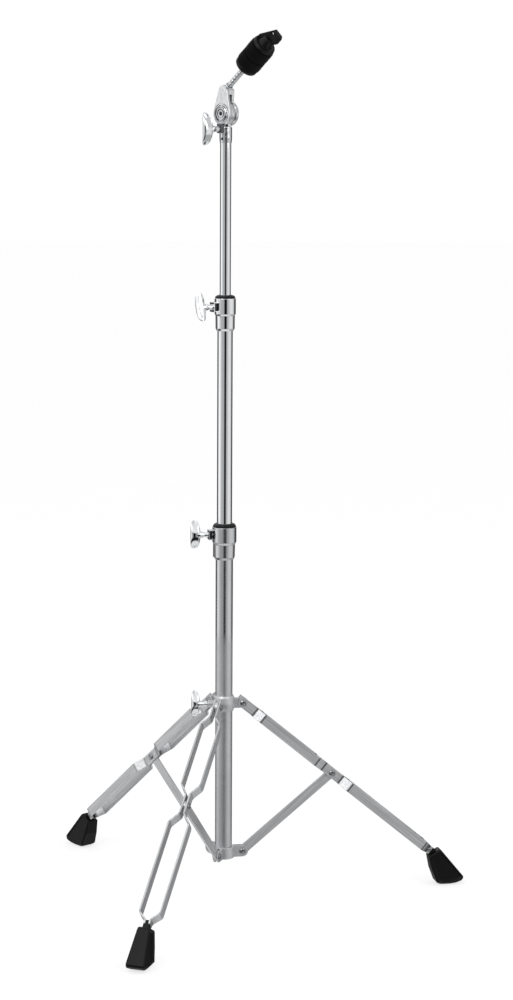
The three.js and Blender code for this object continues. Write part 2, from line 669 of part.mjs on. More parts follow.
function tilterBody() {
  const bore = upper_tube_diameter / 2 + gap;
  const blind = socket_floor + socket_depth + gap;
  const crown = socket_floor + socket_depth + socket_cap;
  const socket = turned([
    [bore, socket_floor], [socket_mouth_radius, socket_floor], [socket_radius, socket_floor + socket_depth / 2],
    [socket_radius, crown - sleeve_lip], [socket_radius - sleeve_lip, crown], [0, crown], [0, blind], [bore, blind],
  ]);
  const blade = rod('x', blade_radius, -blade_half, blade_half, collar_sides);
  const neck = box(-blade_half, blade_half, -neck_half_width, neck_half_width, crown - socket_cap / 2, -blade_half);
  const pivot = rod('x', pivot_bolt_radius + gap, -overrun, overrun);
  const bolt = rod('x', bolt_radius + gap, -bolt_radius, overrun).translate(0, 0, bolt_level);
  const screw = rod('x', set_screw_radius + gap, 0, overrun).rotateZ(rad(set_screw_azimuth - tilter_azimuth));
  screw.translate(0, 0, socket_floor + set_screw_height);
  return cut(join(socket, blade, neck), pivot, bolt, screw);
}
add(tilter, 'tilter_body', tilterBody(), 'chrome');

function frictionDisc(side) {
  const from = blade_half + gap;
  const disc = rod('x', blade_radius, from, from + friction_disc, collar_sides);
  const hole = rod('x', pivot_bolt_radius + gap, -overrun, overrun);
  const body = cut(solid(disc), hole);
  return side > 0 ? body : body.mirror([1, 0, 0]);
}
add(tilter, 'tilter_friction_disc_near', frictionDisc(1), 'dark_steel');
add(tilter, 'tilter_friction_disc_far', frictionDisc(-1), 'dark_steel');

function pivotBolt() {
  const face = drum_far_width + gap;
  const bolt = rivet(pivot_bolt_radius, pivot_head_radius, -face, drum_half_width, pivot_head_height, 0);
  return bolt.rotateZ(-Math.PI / 2);
}
add(tilter, 'tilter_pivot_bolt', pivotBolt(), 'dark_steel');

function setScrew() {
  return rod('x', set_screw_radius, upper_tube_diameter / 2 + gap, socket_radius);
}
const set_screw_frame = frameAt(tilter, 0, 0, socket_floor + set_screw_height, set_screw_azimuth - tilter_azimuth);
add(set_screw_frame, 'tilter_set_screw', setScrew(), 'dark_steel');

// Brake shoe: a bar on the wing bolt, pulled against the near cheek's rim
const shoe_face = fork_inner + cheek_plate + gap;
function brakeShoe() {
  const half = shoe_width / 2;
  const face = shoe_face + shoe_thickness;
  const back = Math.max(shoe_face, socket_radius + gap);
  const lip = box(back, face, -half, half, -drum_radius - shoe_lip, -drum_radius + shoe_lip);
  const block = box(back, face, -half, half, bolt_level - half, -drum_radius - gap);
  const boss = rod('x', shoe_width / 3, face - gap, face + shoe_boss).translate(0, 0, bolt_level);
  const hole = rod('x', bolt_radius + gap, -overrun, overrun).translate(0, 0, bolt_level);
  return cut(join(block, lip, boss), hole);
}
add(tilter, 'tilter_brake_shoe', brakeShoe(), 'dark_steel');
const tilter_bolt_frame = frameAt(tilter, 0, 0, bolt_level);
add(tilter_bolt_frame, 'tilter_wing_bolt', wingBolt(-bolt_radius + gap,
  shoe_face + shoe_thickness + shoe_boss + gap + wing_neck, tilter_wing_depth, tilter_wing_span), 'chrome');

// Fork arm: two cheeks outside the blade, joined above it by the boss that holds the rod. The near cheek
// is ringed and widens into the arm's tip along two tangents, the far one is a plain disc with a neck
const arm_tip_y = arm_reach * Math.sin(rad(arm_lean));
const arm_tip_z = arm_reach * Math.cos(rad(arm_lean));
function alongRod(geometry) {
  return geometry.rotateX(-rad(rod_angle)).translate(0, arm_tip_y, arm_tip_z);
}
function nearCheek(from, to) {
  const turn = Math.asin((drum_radius - arm_tip_radius) / arm_hull_reach);
  const shape = new THREE.Shape();
  shape.absarc(0, 0, drum_radius, turn, Math.PI - turn, true);
  shape.absarc(0, arm_hull_reach, arm_tip_radius, Math.PI - turn, turn, true);
  shape.closePath();
  return plate(shape, from, to, hull_steps).rotateZ(-Math.PI / 2).rotateX(-rad(arm_lean));
}
function tilterArm() {
  const half = arm_neck_width / 2;
  const neck_from = blade_radius + gap;
  const cheek_outer = fork_inner + cheek_plate;
  let arm = solid(nearCheek(fork_inner, cheek_outer));
  ring_radii_share.forEach((share, i) => {
    const reach = cheek_outer + (i + 1) * ((drum_half_width - cheek_outer) / ring_radii_share.length);
    arm = arm.add(solid(rod('x', share * drum_radius, cheek_outer - gap, reach, collar_sides)));
  });
  const far_neck = box(-cheek_outer, -fork_inner, -half, half, 0, arm_reach).rotateX(-rad(arm_lean));
  arm = arm.add(solid(rod('x', drum_radius, -drum_far_width, -fork_inner, collar_sides))).add(solid(far_neck));
  const bridge = box(-arm_head_half, arm_head_half, -half, half, neck_from + gap, arm_reach).rotateX(-rad(arm_lean));
  const boss = alongRod(rod('z', rod_boss_radius, -rod_boss_back, rod_boss_front, collar_sides));
  const bore = alongRod(rod('z', rod_diameter / 2 + gap, -rod_boss_back / 2 - gap, rod_boss_front + overrun));
  const slot_top = blade_radius + gap + (arm_reach - blade_radius) - arm_bridge;
  const slot = box(-fork_inner, fork_inner, -overrun, overrun, -overrun, slot_top).rotateX(-rad(arm_lean));
  const pivot = rod('x', pivot_bolt_radius + gap, -overrun, overrun);
  return cut(cut(arm.add(solid(bridge)), slot).add(solid(boss)), bore, pivot);
}
add(tilter, 'tilter_arm', tilterArm(), 'chrome');

// Cymbal rod and what sits on it, in a frame whose Z runs up the rod from the boss
const rod_frame = frameAt(tilter, 0, arm_tip_y, arm_tip_z);
rod_frame.rotation.x = -rad(rod_angle);
const rod_radius = rod_diameter / 2;
const washer_bottom = seat_height - gap - seat_washer_thickness;
const flange_top = seat_height + sleeve_flange_thickness;
const lower_felt_bottom = flange_top + gap;
const upper_felt_bottom = lower_felt_bottom + felt_thickness + gap;
const nut_bottom = upper_felt_bottom + felt_thickness + gap;
const nut_top = nut_bottom + nut_flange_thickness;
const sleeve_outer = rod_radius + gap + sleeve_tube_wall;
add(rod_frame, 'cymbal_rod', turned([
  [0, -rod_boss_back / 2], [rod_radius, -rod_boss_back / 2], [rod_radius, rod_length - rod_boss_back - gap],
  [rod_radius - gap, rod_length - rod_boss_back], [0, rod_length - rod_boss_back],
], tube_sides), 'zinc');
add(rod_frame, 'seat_washer', turned([
  [rod_radius + gap, washer_bottom], [seat_washer_radius, washer_bottom],
  [seat_washer_radius, washer_bottom + seat_washer_thickness], [rod_radius + gap, washer_bottom + seat_washer_thickness],
], tube_sides), 'zinc');
add(rod_frame, 'cymbal_sleeve', turned([
  [rod_radius + gap, seat_height], [sleeve_flange_radius - felt_edge, seat_height],
  [sleeve_flange_radius, seat_height + felt_edge], [sleeve_flange_radius, flange_top - felt_edge],
  [sleeve_flange_radius - felt_edge, flange_top], [sleeve_outer, flange_top],
  [sleeve_outer, nut_bottom - gap], [rod_radius + gap, nut_bottom - gap],
]), 'nylon');
function felt(bottom) {
  const top = bottom + felt_thickness;
  return turned([
    [sleeve_outer + gap, bottom], [felt_radius - felt_edge, bottom], [felt_radius, bottom + felt_edge],
    [felt_radius, top - felt_edge], [felt_radius - felt_edge, top], [sleeve_outer + gap, top],
  ]);
}
add(rod_frame, 'lower_felt', felt(lower_felt_bottom), 'felt');
add(rod_frame, 'upper_felt', felt(upper_felt_bottom), 'felt');

// Wing nut: a round flange and a coned hub with a flat lopsided paddle that has a hole
function wingNut() {
  const body = turned([
    [0, nut_bottom], [nut_flange_radius, nut_bottom], [nut_flange_top_radius, nut_top],
    [nut_hub_radius, nut_top], [nut_hub_top_radius, nut_top + nut_hub_height], [0, nut_top + nut_hub_height],
  ]);
  const end = nut_top - gap + nut_tab_height;
  const tab = polygon(nut_tab_shares.map(([q, z]) => [q * nut_tab_half, nut_top - gap + z * nut_tab_height]));
  const hole = pinHole(nut_tab_hole_radius - gap, nut_tab_hole_side, end - nut_tab_hole_back);
  const blade = plate(tab, -nut_tab_thickness / 2, nut_tab_thickness / 2);
  const bore = rod('z', rod_radius + gap, nut_bottom - overrun, rod_length - rod_boss_back + gap, tube_sides);
  return cut(join(body, blade), bore, hole);
}
const nut_frame = frameAt(rod_frame, 0, 0, 0, nut_turn);
add(nut_frame, 'cymbal_wing_nut', wingNut(), 'nylon');

// The origin lies on the floor, under the middle of the whole stand's box
stand.updateMatrixWorld(true);
const bounds = new THREE.Box3().setFromObject(stand, true);
const middle = bounds.getCenter(new THREE.Vector3());
const part = new THREE.Group();
stand.position.set(-middle.x, -middle.y, 0);
part.add(stand);

export default part;
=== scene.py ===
import math

import bmesh
import bpy
from mathutils import Matrix, Vector, noise


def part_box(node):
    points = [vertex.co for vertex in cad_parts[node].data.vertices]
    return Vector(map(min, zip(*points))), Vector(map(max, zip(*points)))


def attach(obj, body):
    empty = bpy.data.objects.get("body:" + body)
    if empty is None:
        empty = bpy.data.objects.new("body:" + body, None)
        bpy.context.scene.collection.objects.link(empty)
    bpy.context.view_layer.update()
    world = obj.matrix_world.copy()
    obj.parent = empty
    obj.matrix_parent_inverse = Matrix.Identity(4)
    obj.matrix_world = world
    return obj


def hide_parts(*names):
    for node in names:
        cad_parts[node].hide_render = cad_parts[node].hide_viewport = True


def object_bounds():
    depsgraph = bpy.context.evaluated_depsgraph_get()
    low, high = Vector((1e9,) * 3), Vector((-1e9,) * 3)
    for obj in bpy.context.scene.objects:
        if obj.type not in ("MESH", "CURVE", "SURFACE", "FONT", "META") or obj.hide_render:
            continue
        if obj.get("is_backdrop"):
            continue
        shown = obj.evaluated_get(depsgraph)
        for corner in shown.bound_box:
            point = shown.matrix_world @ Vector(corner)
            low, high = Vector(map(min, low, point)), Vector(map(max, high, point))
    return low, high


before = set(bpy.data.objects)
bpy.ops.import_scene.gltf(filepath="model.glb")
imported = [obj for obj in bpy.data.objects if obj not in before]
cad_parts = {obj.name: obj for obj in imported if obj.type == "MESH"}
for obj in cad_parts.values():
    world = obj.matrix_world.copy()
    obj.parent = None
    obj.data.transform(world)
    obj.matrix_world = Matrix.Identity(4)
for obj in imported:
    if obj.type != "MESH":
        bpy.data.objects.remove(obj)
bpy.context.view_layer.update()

# Base tube. One-inch steel tube with a dull satin chrome plate, cut square with the burr taken off.
# The legs' collars slide and lock on it, and a flanged plastic plug closes its lower end.
tube_low, tube_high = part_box("base_tube")
pole_x = (tube_low.x + tube_high.x) / 2
pole_y = (tube_low.y + tube_high.y) / 2
POLE = Matrix.Translation((pole_x, pole_y, 0)) @ Matrix.Scale(0.001, 4)


def heights(node):
    low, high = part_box(node)
    return low.z * 1000, high.z * 1000


def linear(hex_colour):
    parts = [int(hex_colour[i:i + 2], 16) / 255 for i in (1, 3, 5)]
    return tuple(p / 12.92 if p <= 0.04045 else ((p + 0.055) / 1.055) ** 2.4 for p in parts) + (1,)


def add_node(tree, kind, settings=None, **inputs):
    node = tree.nodes.new(kind)
    for name, value in (settings or {}).items():
        setattr(node, name, value)
    for name, value in inputs.items():
        socket = node.inputs[int(name[1:])] if name[1:].isdigit() else node.inputs[name.replace("_", " ")]
        if isinstance(value, bpy.types.NodeSocket):
            tree.links.new(value, socket)
        else:
            socket.default_value = value
    return node


def new_finish(name):
    finish = bpy.data.materials.new(name)
    finish.use_nodes = True
    tree = finish.node_tree
    tree.nodes.clear()
    place = add_node(tree, "ShaderNodeTexCoord").outputs["Object"]
    return finish, tree, place


def per_mm(size):
    return 1000 / size


def coat(tree, tones, rough, relief=None, **shine):
    if isinstance(tones, tuple):
        field, dark, pale = tones
        tones = add_node(tree, "ShaderNodeMix", {"data_type": "RGBA"}, _0=field.outputs[0],
                         _6=linear(dark), _7=linear(pale)).outputs[2]
    if isinstance(rough, tuple):
        field, smooth, dull = rough
        rough = add_node(tree, "ShaderNodeMapRange", Value=field.outputs[0], _3=smooth, _4=dull).outputs[0]
    if relief:
        field, strength, depth = relief
        shine["Normal"] = add_node(tree, "ShaderNodeBump", Strength=strength, Distance=depth,
                                   Height=field.outputs[0]).outputs[0]
    shader = add_node(tree, "ShaderNodeBsdfPrincipled", Base_Color=tones, Roughness=rough, **shine)
    add_node(tree, "ShaderNodeOutputMaterial", Surface=shader.outputs[0])


def rounded(outline, steps=4):
    points = []
    for i, corner in enumerate(outline):
        here = Vector(corner[:2])
        radius = corner[2] if len(corner) > 2 else 0
        if radius == 0:
            points.append(here)
            continue
        back = Vector(outline[i - 1][:2]) - here
        on = Vector(outline[(i + 1) % len(outline)][:2]) - here
        run = min(radius / math.tan(back.angle(on) / 2), 0.49 * back.length, 0.49 * on.length)
        start = here + back.normalized() * run
        end = here + on.normalized() * run
        for k in range(steps + 1):
            t = k / steps
            points.append(start.lerp(here, t).lerp(here.lerp(end, t), t))
    return points


def turned(outline, sides=96):
    mesh = bmesh.new()
    rings = []
    for r, z in rounded(outline):
        turns = [2 * math.pi * k / sides for k in range(sides)] if r > 0 else [0]
        rings.append([mesh.verts.new((r * math.cos(t), r * math.sin(t), z)) for t in turns])
    for lower, upper in zip(rings, rings[1:] + rings[:1]):
        for k in range(sides if len(lower) + len(upper) > 2 else 0):
            m = (k + 1) % sides
            corners = [lower[k % len(lower)], lower[m % len(lower)],
                       upper[m % len(upper)], upper[k % len(upper)]]
            mesh.faces.new(list(dict.fromkeys(corners)))
    bmesh.ops.recalc_face_normals(mesh, faces=mesh.faces)
    return mesh


def mesh_of(obj):
    view = bpy.context.evaluated_depsgraph_get()
    view.update()
    mesh = bpy.data.meshes.new_from_object(obj.evaluated_get(view))
    bpy.data.objects.remove(obj)
    return mesh


def as_object(name, mesh):
    if isinstance(mesh, bmesh.types.BMesh):
        data = bpy.data.meshes.new(name)
        mesh.to_mesh(data)
        mesh.free()
        mesh = data
    obj = bpy.data.objects.new(name, mesh)
    bpy.context.scene.collection.objects.link(obj)
    return obj


def finished(name, mesh, finish, body, nodes, matrix=POLE, sharp=35):
    obj = as_object(name, mesh)
    obj.data.name = name
    obj.data.transform(matrix)
    obj.data.materials.clear()
    obj.data.materials.append(finish)
    obj.data.shade_smooth()
    obj.data.set_sharp_from_angle(angle=math.radians(sharp))
    weights = obj.modifiers.new("weights", "WEIGHTED_NORMAL")
    weights.keep_sharp = True
    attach(obj, body)
    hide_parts(*nodes)
    return obj


# Satin chrome on drawn steel: buffed but not mirror bright, so reflections soften into broad bands.
# The buffing wheel reached the lowest 0.4 m less, and the plate is duller there.
satin_chrome, tree, place = new_finish("satin_chrome_on_drawn_tube")
along = add_node(tree, "ShaderNodeMapping", Vector=place, Scale=(1, 1, 0.04))
lines = add_node(tree, "ShaderNodeTexNoise", Vector=along.outputs[0], Scale=per_mm(0.8), Detail=3)
cloud = add_node(tree, "ShaderNodeTexNoise", Vector=place, Scale=per_mm(35), Detail=4)
parts = add_node(tree, "ShaderNodeSeparateXYZ", Vector=place)
worn = add_node(tree, "ShaderNodeMapRange", Value=parts.outputs["Z"], _1=0.385, _2=0.405, _3=0.2, _4=0.0)
rough = add_node(tree, "ShaderNodeMapRange", Value=lines.outputs[0], _3=0.17, _4=0.27)
rough = add_node(tree, "ShaderNodeMath", _0=rough.outputs[0], _1=worn.outputs[0])
coat(tree, (cloud, "#c4c6c8", "#d8dadc"), rough.outputs[0], (lines, 0.05, 0.0001), Metallic=1.0)


def tube(radius, low, high, wall=1.2):
    return turned([(radius - wall, low, 0.2), (radius, low, 0.4),
                   (radius, high, 0.4), (radius - wall, high, 0.2)], 112)


BASE_RADIUS = 12.7
finished("base_tube_satin", tube(BASE_RADIUS, *heights("base_tube")), satin_chrome, "base",
         ["base_tube"])

# Moulded nylon, black all through: a fine spark-eroded grain that breaks the highlight up.
black_nylon, tree, place = new_finish("moulded_black_nylon")
grain = add_node(tree, "ShaderNodeTexNoise", Vector=place, Scale=per_mm(0.5), Detail=2)
cloud = add_node(tree, "ShaderNodeTexNoise", Vector=place, Scale=per_mm(9), Detail=3)
coat(tree, (cloud, "#040405", "#0b0b0c"), (cloud, 0.34, 0.5), (grain, 0.2, 0.0001), IOR=1.3)

low, high = heights("base_tube_plug")
plug = turned([(0, low), (12.3, low, 0.5), (12.3, low + 1.3, 0.3), (11.1, low + 1.4), (11.1, high, 0.5),
               (9.1, high, 0.5), (9.1, low + 3), (0, low + 3)], 64)
finished("base_tube_end_plug", plug, black_nylon, "base", ["base_tube_plug"])

# Lower collar. A steel ring with three pairs of pressed ears, fixed near the foot of the base tube
# by one screw at its back. A flat brace swings between each pair of ears on a headed pin.
LEGS = {"right": 11, "rear": 131, "front": 251}
PIVOT_RADIUS = 28.5
COLLAR_BORE = 13


def spin(degrees, axis="Z"):
    return Matrix.Rotation(math.radians(degrees), 4, axis)


def shift(x=0, y=0, z=0):
    return Matrix.Translation((x, y, z))


UPRIGHT = spin(90, "X")
SIDEWAYS = spin(90, "Y")


def as_bmesh(data):
    mesh = bmesh.new()
    mesh.from_mesh(data)
    bpy.data.meshes.remove(data)
    return mesh


def plate(outlines, low, high, edge=0.4):
    curve = bpy.data.curves.new("outline", "CURVE")
    curve.dimensions = "2D"
    curve.fill_mode = "BOTH"
    curve.extrude = (high - low) / 2 - edge
    curve.bevel_depth = edge
    curve.bevel_resolution = 1
    curve.offset = -edge
    for outline in outlines:
        spline = curve.splines.new("POLY")
        spline.points.add(len(outline) - 1)
        for target, point in zip(spline.points, outline):
            target.co = (point[0], point[1], 0, 1)
        spline.use_cyclic_u = True
    mesh = as_bmesh(mesh_of(as_object("outline", curve)))
    bmesh.ops.remove_doubles(mesh, verts=mesh.verts, dist=0.001)
    bmesh.ops.translate(mesh, verts=mesh.verts, vec=(0, 0, (low + high) / 2))
    bmesh.ops.recalc_face_normals(mesh, faces=mesh.faces)
    return mesh


def circle(radius, x=0, y=0, sides=48, start=0, end=360):
    steps = sides if end - start >= 360 else sides - 1
    turns = [math.radians(start + (end - start) * k / steps) for k in range(sides)]
    return [(x + radius * math.cos(t), y + radius * math.sin(t)) for t in turns]


def moved(mesh, matrix):
    bmesh.ops.transform(mesh, matrix=matrix, verts=mesh.verts)
    return mesh


def combined(first, *others, operation="UNION"):
    body = as_object("body", first)
    tools = [as_object("tool", other) for other in others]
    for tool in tools:
        step = body.modifiers.new("step", "BOOLEAN")
        step.operation = operation
        step.solver = "EXACT"
        step.object = tool
    mesh = as_bmesh(mesh_of(body))
    for tool in tools:
        bpy.data.objects.remove(tool)
    bmesh.ops.remove_doubles(mesh, verts=mesh.verts, dist=0.0005)
    return mesh


def bar(radius, low, high, sides=40, edge=0.3):
    return turned([(0, low), (radius, low, edge), (radius, high, edge), (0, high)], sides)


def ear(radius, low, high, azimuth, height, edge, holes=()):
    outline = [(14.4, -radius), *circle(radius, PIVOT_RADIUS, 0, 24, -90, 90), (14.4, radius)]
    standing = moved(plate([outline, *holes], low, high, edge), UPRIGHT)
    return moved(standing, spin(azimuth) @ shift(z=height))


# Dull nickel on pressed steel: even mid grey, with a fine grain from the press.
plated_strip, tree, place = new_finish("dull_nickel_on_pressed_steel")
grain = add_node(tree, "ShaderNodeTexNoise", Vector=place, Scale=per_mm(1.6), Detail=5, Roughness=0.65)
cloud = add_node(tree, "ShaderNodeTexNoise", Vector=place, Scale=per_mm(22), Detail=4)
coat(tree, (cloud, "#b9babc", "#c9cacc"), (grain, 0.3, 0.46), (grain, 0.12, 0.0001), Metallic=0.62)

pin_low, pin_high = heights("brace_right_pin")
lower_pivot = (pin_low + pin_high) / 2
ring_low = lower_pivot - 8.75
ring_high = ring_low + 17.2
collar = turned([(COLLAR_BORE, ring_low, 0.4), (15.9, ring_low, 0.8), (15.9, ring_high, 0.8),
                 (COLLAR_BORE, ring_high, 0.4)])
pin_hole = circle(3.2, PIVOT_RADIUS, 0, 24)
ears = [ear(8.7, near, far, azimuth, lower_pivot, 0.35, [pin_hole])
        for azimuth in LEGS.values() for near, far in ((1.8, 4.0), (-4.0, -1.8))]
finished("lower_collar_pressed", combined(collar, *ears), plated_strip, "base",
         ["lower_collar"])

screw = turned([(0, 13.1), (2.4, 13.1), (2.4, 16.3), (4.2, 16.3, 0.3), (4.2, 18.6, 0.9), (2.2, 18.6),
                (2.2, 17.2), (0, 17.2)], 48)
finished("lower_collar_cap_screw", screw, plated_strip, "base", ["lower_collar_screw"],
         POLE @ spin(70) @ shift(z=lower_pivot) @ SIDEWAYS)

# Braces. Flat steel bars with full round ends. The lower end turns on a pin in the lower collar,
# and the upper end is riveted between the two strips of its leg.
LEAN = 50.2
LINK = 177.5
BRACE_HALF_WIDTH = 7

# Dull nickel on rolled strip: the mill's lines run along each bar, drawn as coarse as the render
# shows them, and painted shade darkens the plate along each line where the press folded the steel.
rolled_strip, tree, place = new_finish("dull_nickel_on_rolled_strip")
rolled = add_node(tree, "ShaderNodeAttribute", {"attribute_name": "rolled"})
along = add_node(tree, "ShaderNodeMapping", Vector=rolled.outputs["Vector"], Scale=(0.02, 1, 1))
lines = add_node(tree, "ShaderNodeTexNoise", Vector=along.outputs[0], Scale=per_mm(1.5), Detail=2)
streak = add_node(tree, "ShaderNodeMapRange", Value=lines.outputs[0], _1=0.35, _2=0.65)
tone = add_node(tree, "ShaderNodeMix", {"data_type": "RGBA"}, _0=streak.outputs[0],
                _6=linear("#b0b1b3"), _7=linear("#d0d1d3"))
# Painted shade: a near-black tone laid over the plate along each fold of the strip.
painted_fold_shade_mask = add_node(tree, "ShaderNodeAttribute", {"attribute_name": "painted_fold_shade"})
tone = add_node(tree, "ShaderNodeMix", {"data_type": "RGBA"}, _0=painted_fold_shade_mask.outputs["Fac"], _6=tone.outputs[2],
                _7=linear("#262728"))
grain = add_node(tree, "ShaderNodeTexNoise", Vector=place, Scale=per_mm(1.6), Detail=5, Roughness=0.65)
coat(tree, tone.outputs[2], (grain, 0.3, 0.46), (lines, 0.15, 0.0001), Metallic=0.62)


def as_rolled(mesh, folds=(), dark=0):
    rolled = mesh.verts.layers.float_vector.new("rolled")
    # Vertices within 1.5 mm of a fold carry the darkness of the painted fold shade.
    painted_fold_shade = mesh.verts.layers.float.new("painted_fold_shade")
    for vertex in mesh.verts:
        vertex[rolled] = vertex.co * 0.001
        vertex[painted_fold_shade] = dark if any(abs(vertex.co.x - x) < 1.5 for x in folds) else 0
    return mesh


for leg, azimuth in LEGS.items():
    outline = [*circle(BRACE_HALF_WIDTH, 0, 0, 24, 90, 270), *circle(BRACE_HALF_WIDTH, LINK, 0, 24, -90, 90)]
    brace = as_rolled(moved(plate([outline], -1.5, 1.5, 0.3), UPRIGHT))
    at = POLE @ spin(azimuth) @ shift(PIVOT_RADIUS, 0, lower_pivot) @ spin(LEAN - 90, "Y")
    finished(f"brace_{leg}_bar", brace, rolled_strip, f"brace_{leg}", [f"brace_{leg}"], at)

# Rivets and pins. Mild steel, headed cold and left bare, with a shallow cup that the rivet set leaves
# in the crown. One head is turned for each group, and set on the pins and legs at its places.


def new_tree(name, inputs, result):
    tree = bpy.data.node_groups.new(name, "GeometryNodeTree")
    for label, kind in inputs.items():
        tree.interface.new_socket(label, in_out="INPUT", socket_type=f"NodeSocket{kind}")
    tree.interface.new_socket(result, in_out="OUTPUT", socket_type="NodeSocketGeometry")
    return tree, add_node(tree, "NodeGroupInput")


def end_tree(tree, start, shape):
    coated = add_node(tree, "GeometryNodeSetMaterial", Geometry=shape, Material=start.outputs["Finish"])
    add_node(tree, "NodeGroupOutput", _0=coated.outputs[0])


def grown(carrier, tree, **sizes):
    modifier = carrier.modifiers.new("grown", "NODES")
    modifier.node_group = tree
    inputs = {item.name: item.identifier for item in tree.interface.items_tree if item.in_out == "INPUT"}
    for name, value in sizes.items():
        modifier[inputs[name.replace("_", " ")]] = value
    return mesh_of(carrier)


# Bare cold-headed steel: darker and smoother than the plate round it, with small sharp highlights.
rivet_steel, tree, place = new_finish("cold_headed_steel")
scale = add_node(tree, "ShaderNodeTexNoise", Vector=place, Scale=per_mm(2), Detail=4)
coat(tree, (scale, "#77797c", "#a4a6a8"), (scale, 0.12, 0.3), Metallic=1.0)

rivet_tree, start = new_tree("headed_rivets", {"Places": "Geometry", "Head": "Object", "Finish": "Material"},
                             "Rivets")
head = add_node(rivet_tree, "GeometryNodeObjectInfo", Object=start.outputs["Head"])
facing = add_node(rivet_tree, "GeometryNodeInputNamedAttribute", {"data_type": "FLOAT_VECTOR"}, Name="facing")
size = add_node(rivet_tree, "GeometryNodeInputNamedAttribute", {"data_type": "FLOAT_VECTOR"}, Name="size")
upward = add_node(rivet_tree, "FunctionNodeAlignEulerToVector", {"axis": "Z"}, Vector=facing.outputs[0])
heads = add_node(rivet_tree, "GeometryNodeInstanceOnPoints", Points=start.outputs["Places"],
                 Instance=head.outputs["Geometry"], Rotation=upward.outputs[0], Scale=size.outputs[0])
solid = add_node(rivet_tree, "GeometryNodeRealizeInstances", Geometry=heads.outputs[0])
end_tree(rivet_tree, start, solid.outputs[0])


def rivets(name, places, body, nodes, matrix):
    crown = turned([(0, -2.9), (3, -2.9, 0.2), (3, 0), (4.9, 0, 0.35), (4.7, 0.9, 0.5), (3.1, 2, 0.5),
                    (2.1, 2.05, 0.3), (1.5, 1.5, 0.4), (0, 1.45)], 40)
    head = as_object("rivet_head", crown)
    points = bpy.data.meshes.new(name)
    points.from_pydata([(s, side * face, z) for s, face, z, side, size in places], [], [])
    for label, column in (("facing", [(0, place[3], 0) for place in places]),
                          ("size", [(place[4],) * 3 for place in places])):
        field = points.attributes.new(label, "FLOAT_VECTOR", "POINT")
        for i, value in enumerate(column):
            field.data[i].vector = value
    data = grown(as_object(name, points), rivet_tree, Head=head, Finish=rivet_steel)
    bpy.data.objects.remove(head)
    finished(name, data, rivet_steel, body, nodes, matrix)


for leg, azimuth in LEGS.items():
    places = [(PIVOT_RADIUS, 4.3, lower_pivot, side, 1) for side in (1, -1)]
    rivets(f"brace_{leg}_pin_heads", places, "base", [f"brace_{leg}_pin"], POLE @ spin(azimuth))

# Leg collar. A bellied die-cast ring that slides on the base tube, with a thick ear for each leg
# and a threaded boss for the wing bolt that locks the tripod open.
low, high = heights("leg_collar_wing_bolt")
upper_pivot = (low + high) / 2
ring_low = upper_pivot - 10.7
ring_high = ring_low + 23.5
collar = turned([(COLLAR_BORE, ring_low, 0.3), (14.2, ring_low, 0.8), (15.9, ring_low + 5.9, 5),
                 (16.4, ring_low + 11.7, 5), (15.3, ring_high - 3, 1.5), (13.6, ring_high, 0.4),
                 (COLLAR_BORE, ring_high, 0.2)])
pieces = [ear(7.8, -2.5, 2.5, azimuth, upper_pivot, 0.6) for azimuth in LEGS.values()]
BOSS_TURN = spin(190)
boss = turned([(3.2, 14.3), (5.6, 14.3), (5.6, 24.5, 0.8), (3.2, 24.5, 0.3)], 48)
pieces.append(moved(boss, BOSS_TURN @ shift(z=upper_pivot) @ SIDEWAYS))
finished("leg_collar_cast", combined(collar, *pieces), plated_strip, "leg_collar",
         ["leg_collar"])

# Wing bolts. Zinc castings on a steel screw: two cupped wings round a plain hub, polished all over
# and bright chrome plated.

# Bright chrome plate: close to a mirror, with a faint haze and fine marks from handling.
bright_chrome, tree, place = new_finish("bright_chrome_plate")
haze = add_node(tree, "ShaderNodeTexNoise", Vector=place, Scale=per_mm(18), Detail=5)
marks = add_node(tree, "ShaderNodeTexNoise", Vector=place, Scale=per_mm(2.4), Detail=3)
coat(tree, (haze, "#e6e8ea", "#f2f4f5"), (haze, 0.03, 0.09), (marks, 0.04, 0.0001), Metallic=1.0)


def wing_bolt(tip, start, depth, span):
    wings = bmesh.new()
    across, up = 14, 36
    for side in (1, -1):
        rows = []
        for j in range(up + 1):
            v = math.sin(math.pi * (j / up - 0.5))
            close = math.sqrt(max(1 - v ** 8, 0))
            inner = start + 0.24 * depth * abs(v) ** 1.6
            outer = start + depth * (1 - 0.05 * v * v)
            row = []
            for i in range(across + 1):
                u = math.sin(math.pi * (i / across - 0.5))
                half = (1.2 + 3.4 * (1 - v * v)) * close * math.sqrt(max(1 - abs(u) ** 3, 0))
                lift = 2.4 * u * u * abs(v) * close - 6 * v * v
                x = (inner + outer) / 2 + u * close * (outer - inner) / 2
                row.append(wings.verts.new((x, lift + side * half, v * span / 2)))
            rows.append(row)
        for lower, upper in zip(rows, rows[1:]):
            for i in range(across):
                wings.faces.new([lower[i], lower[i + 1], upper[i + 1], upper[i]])
    bmesh.ops.remove_doubles(wings, verts=wings.verts, dist=0.01)
    bmesh.ops.recalc_face_normals(wings, faces=wings.faces)
    hub = turned([(0, start - 10.7), (4.1, start - 10.7, 0.8), (3.6, start - 5, 2), (5.4, start + 1, 2),
                  (4.2, start + depth * 0.45, 1.5), (0, start + depth * 0.5)], 56)
    screw = bar(3, tip, start - 6, 40, 0.5)
    return combined(wings, moved(hub, SIDEWAYS), moved(screw, SIDEWAYS))


bolt = wing_bolt(tip=13.1, start=35.7, depth=13, span=39.7)
finished("leg_collar_wing_bolt_cast", bolt, bright_chrome, "leg_collar_wing",
         ["leg_collar_wing_bolt"], POLE @ shift(z=upper_pivot) @ BOSS_TURN)

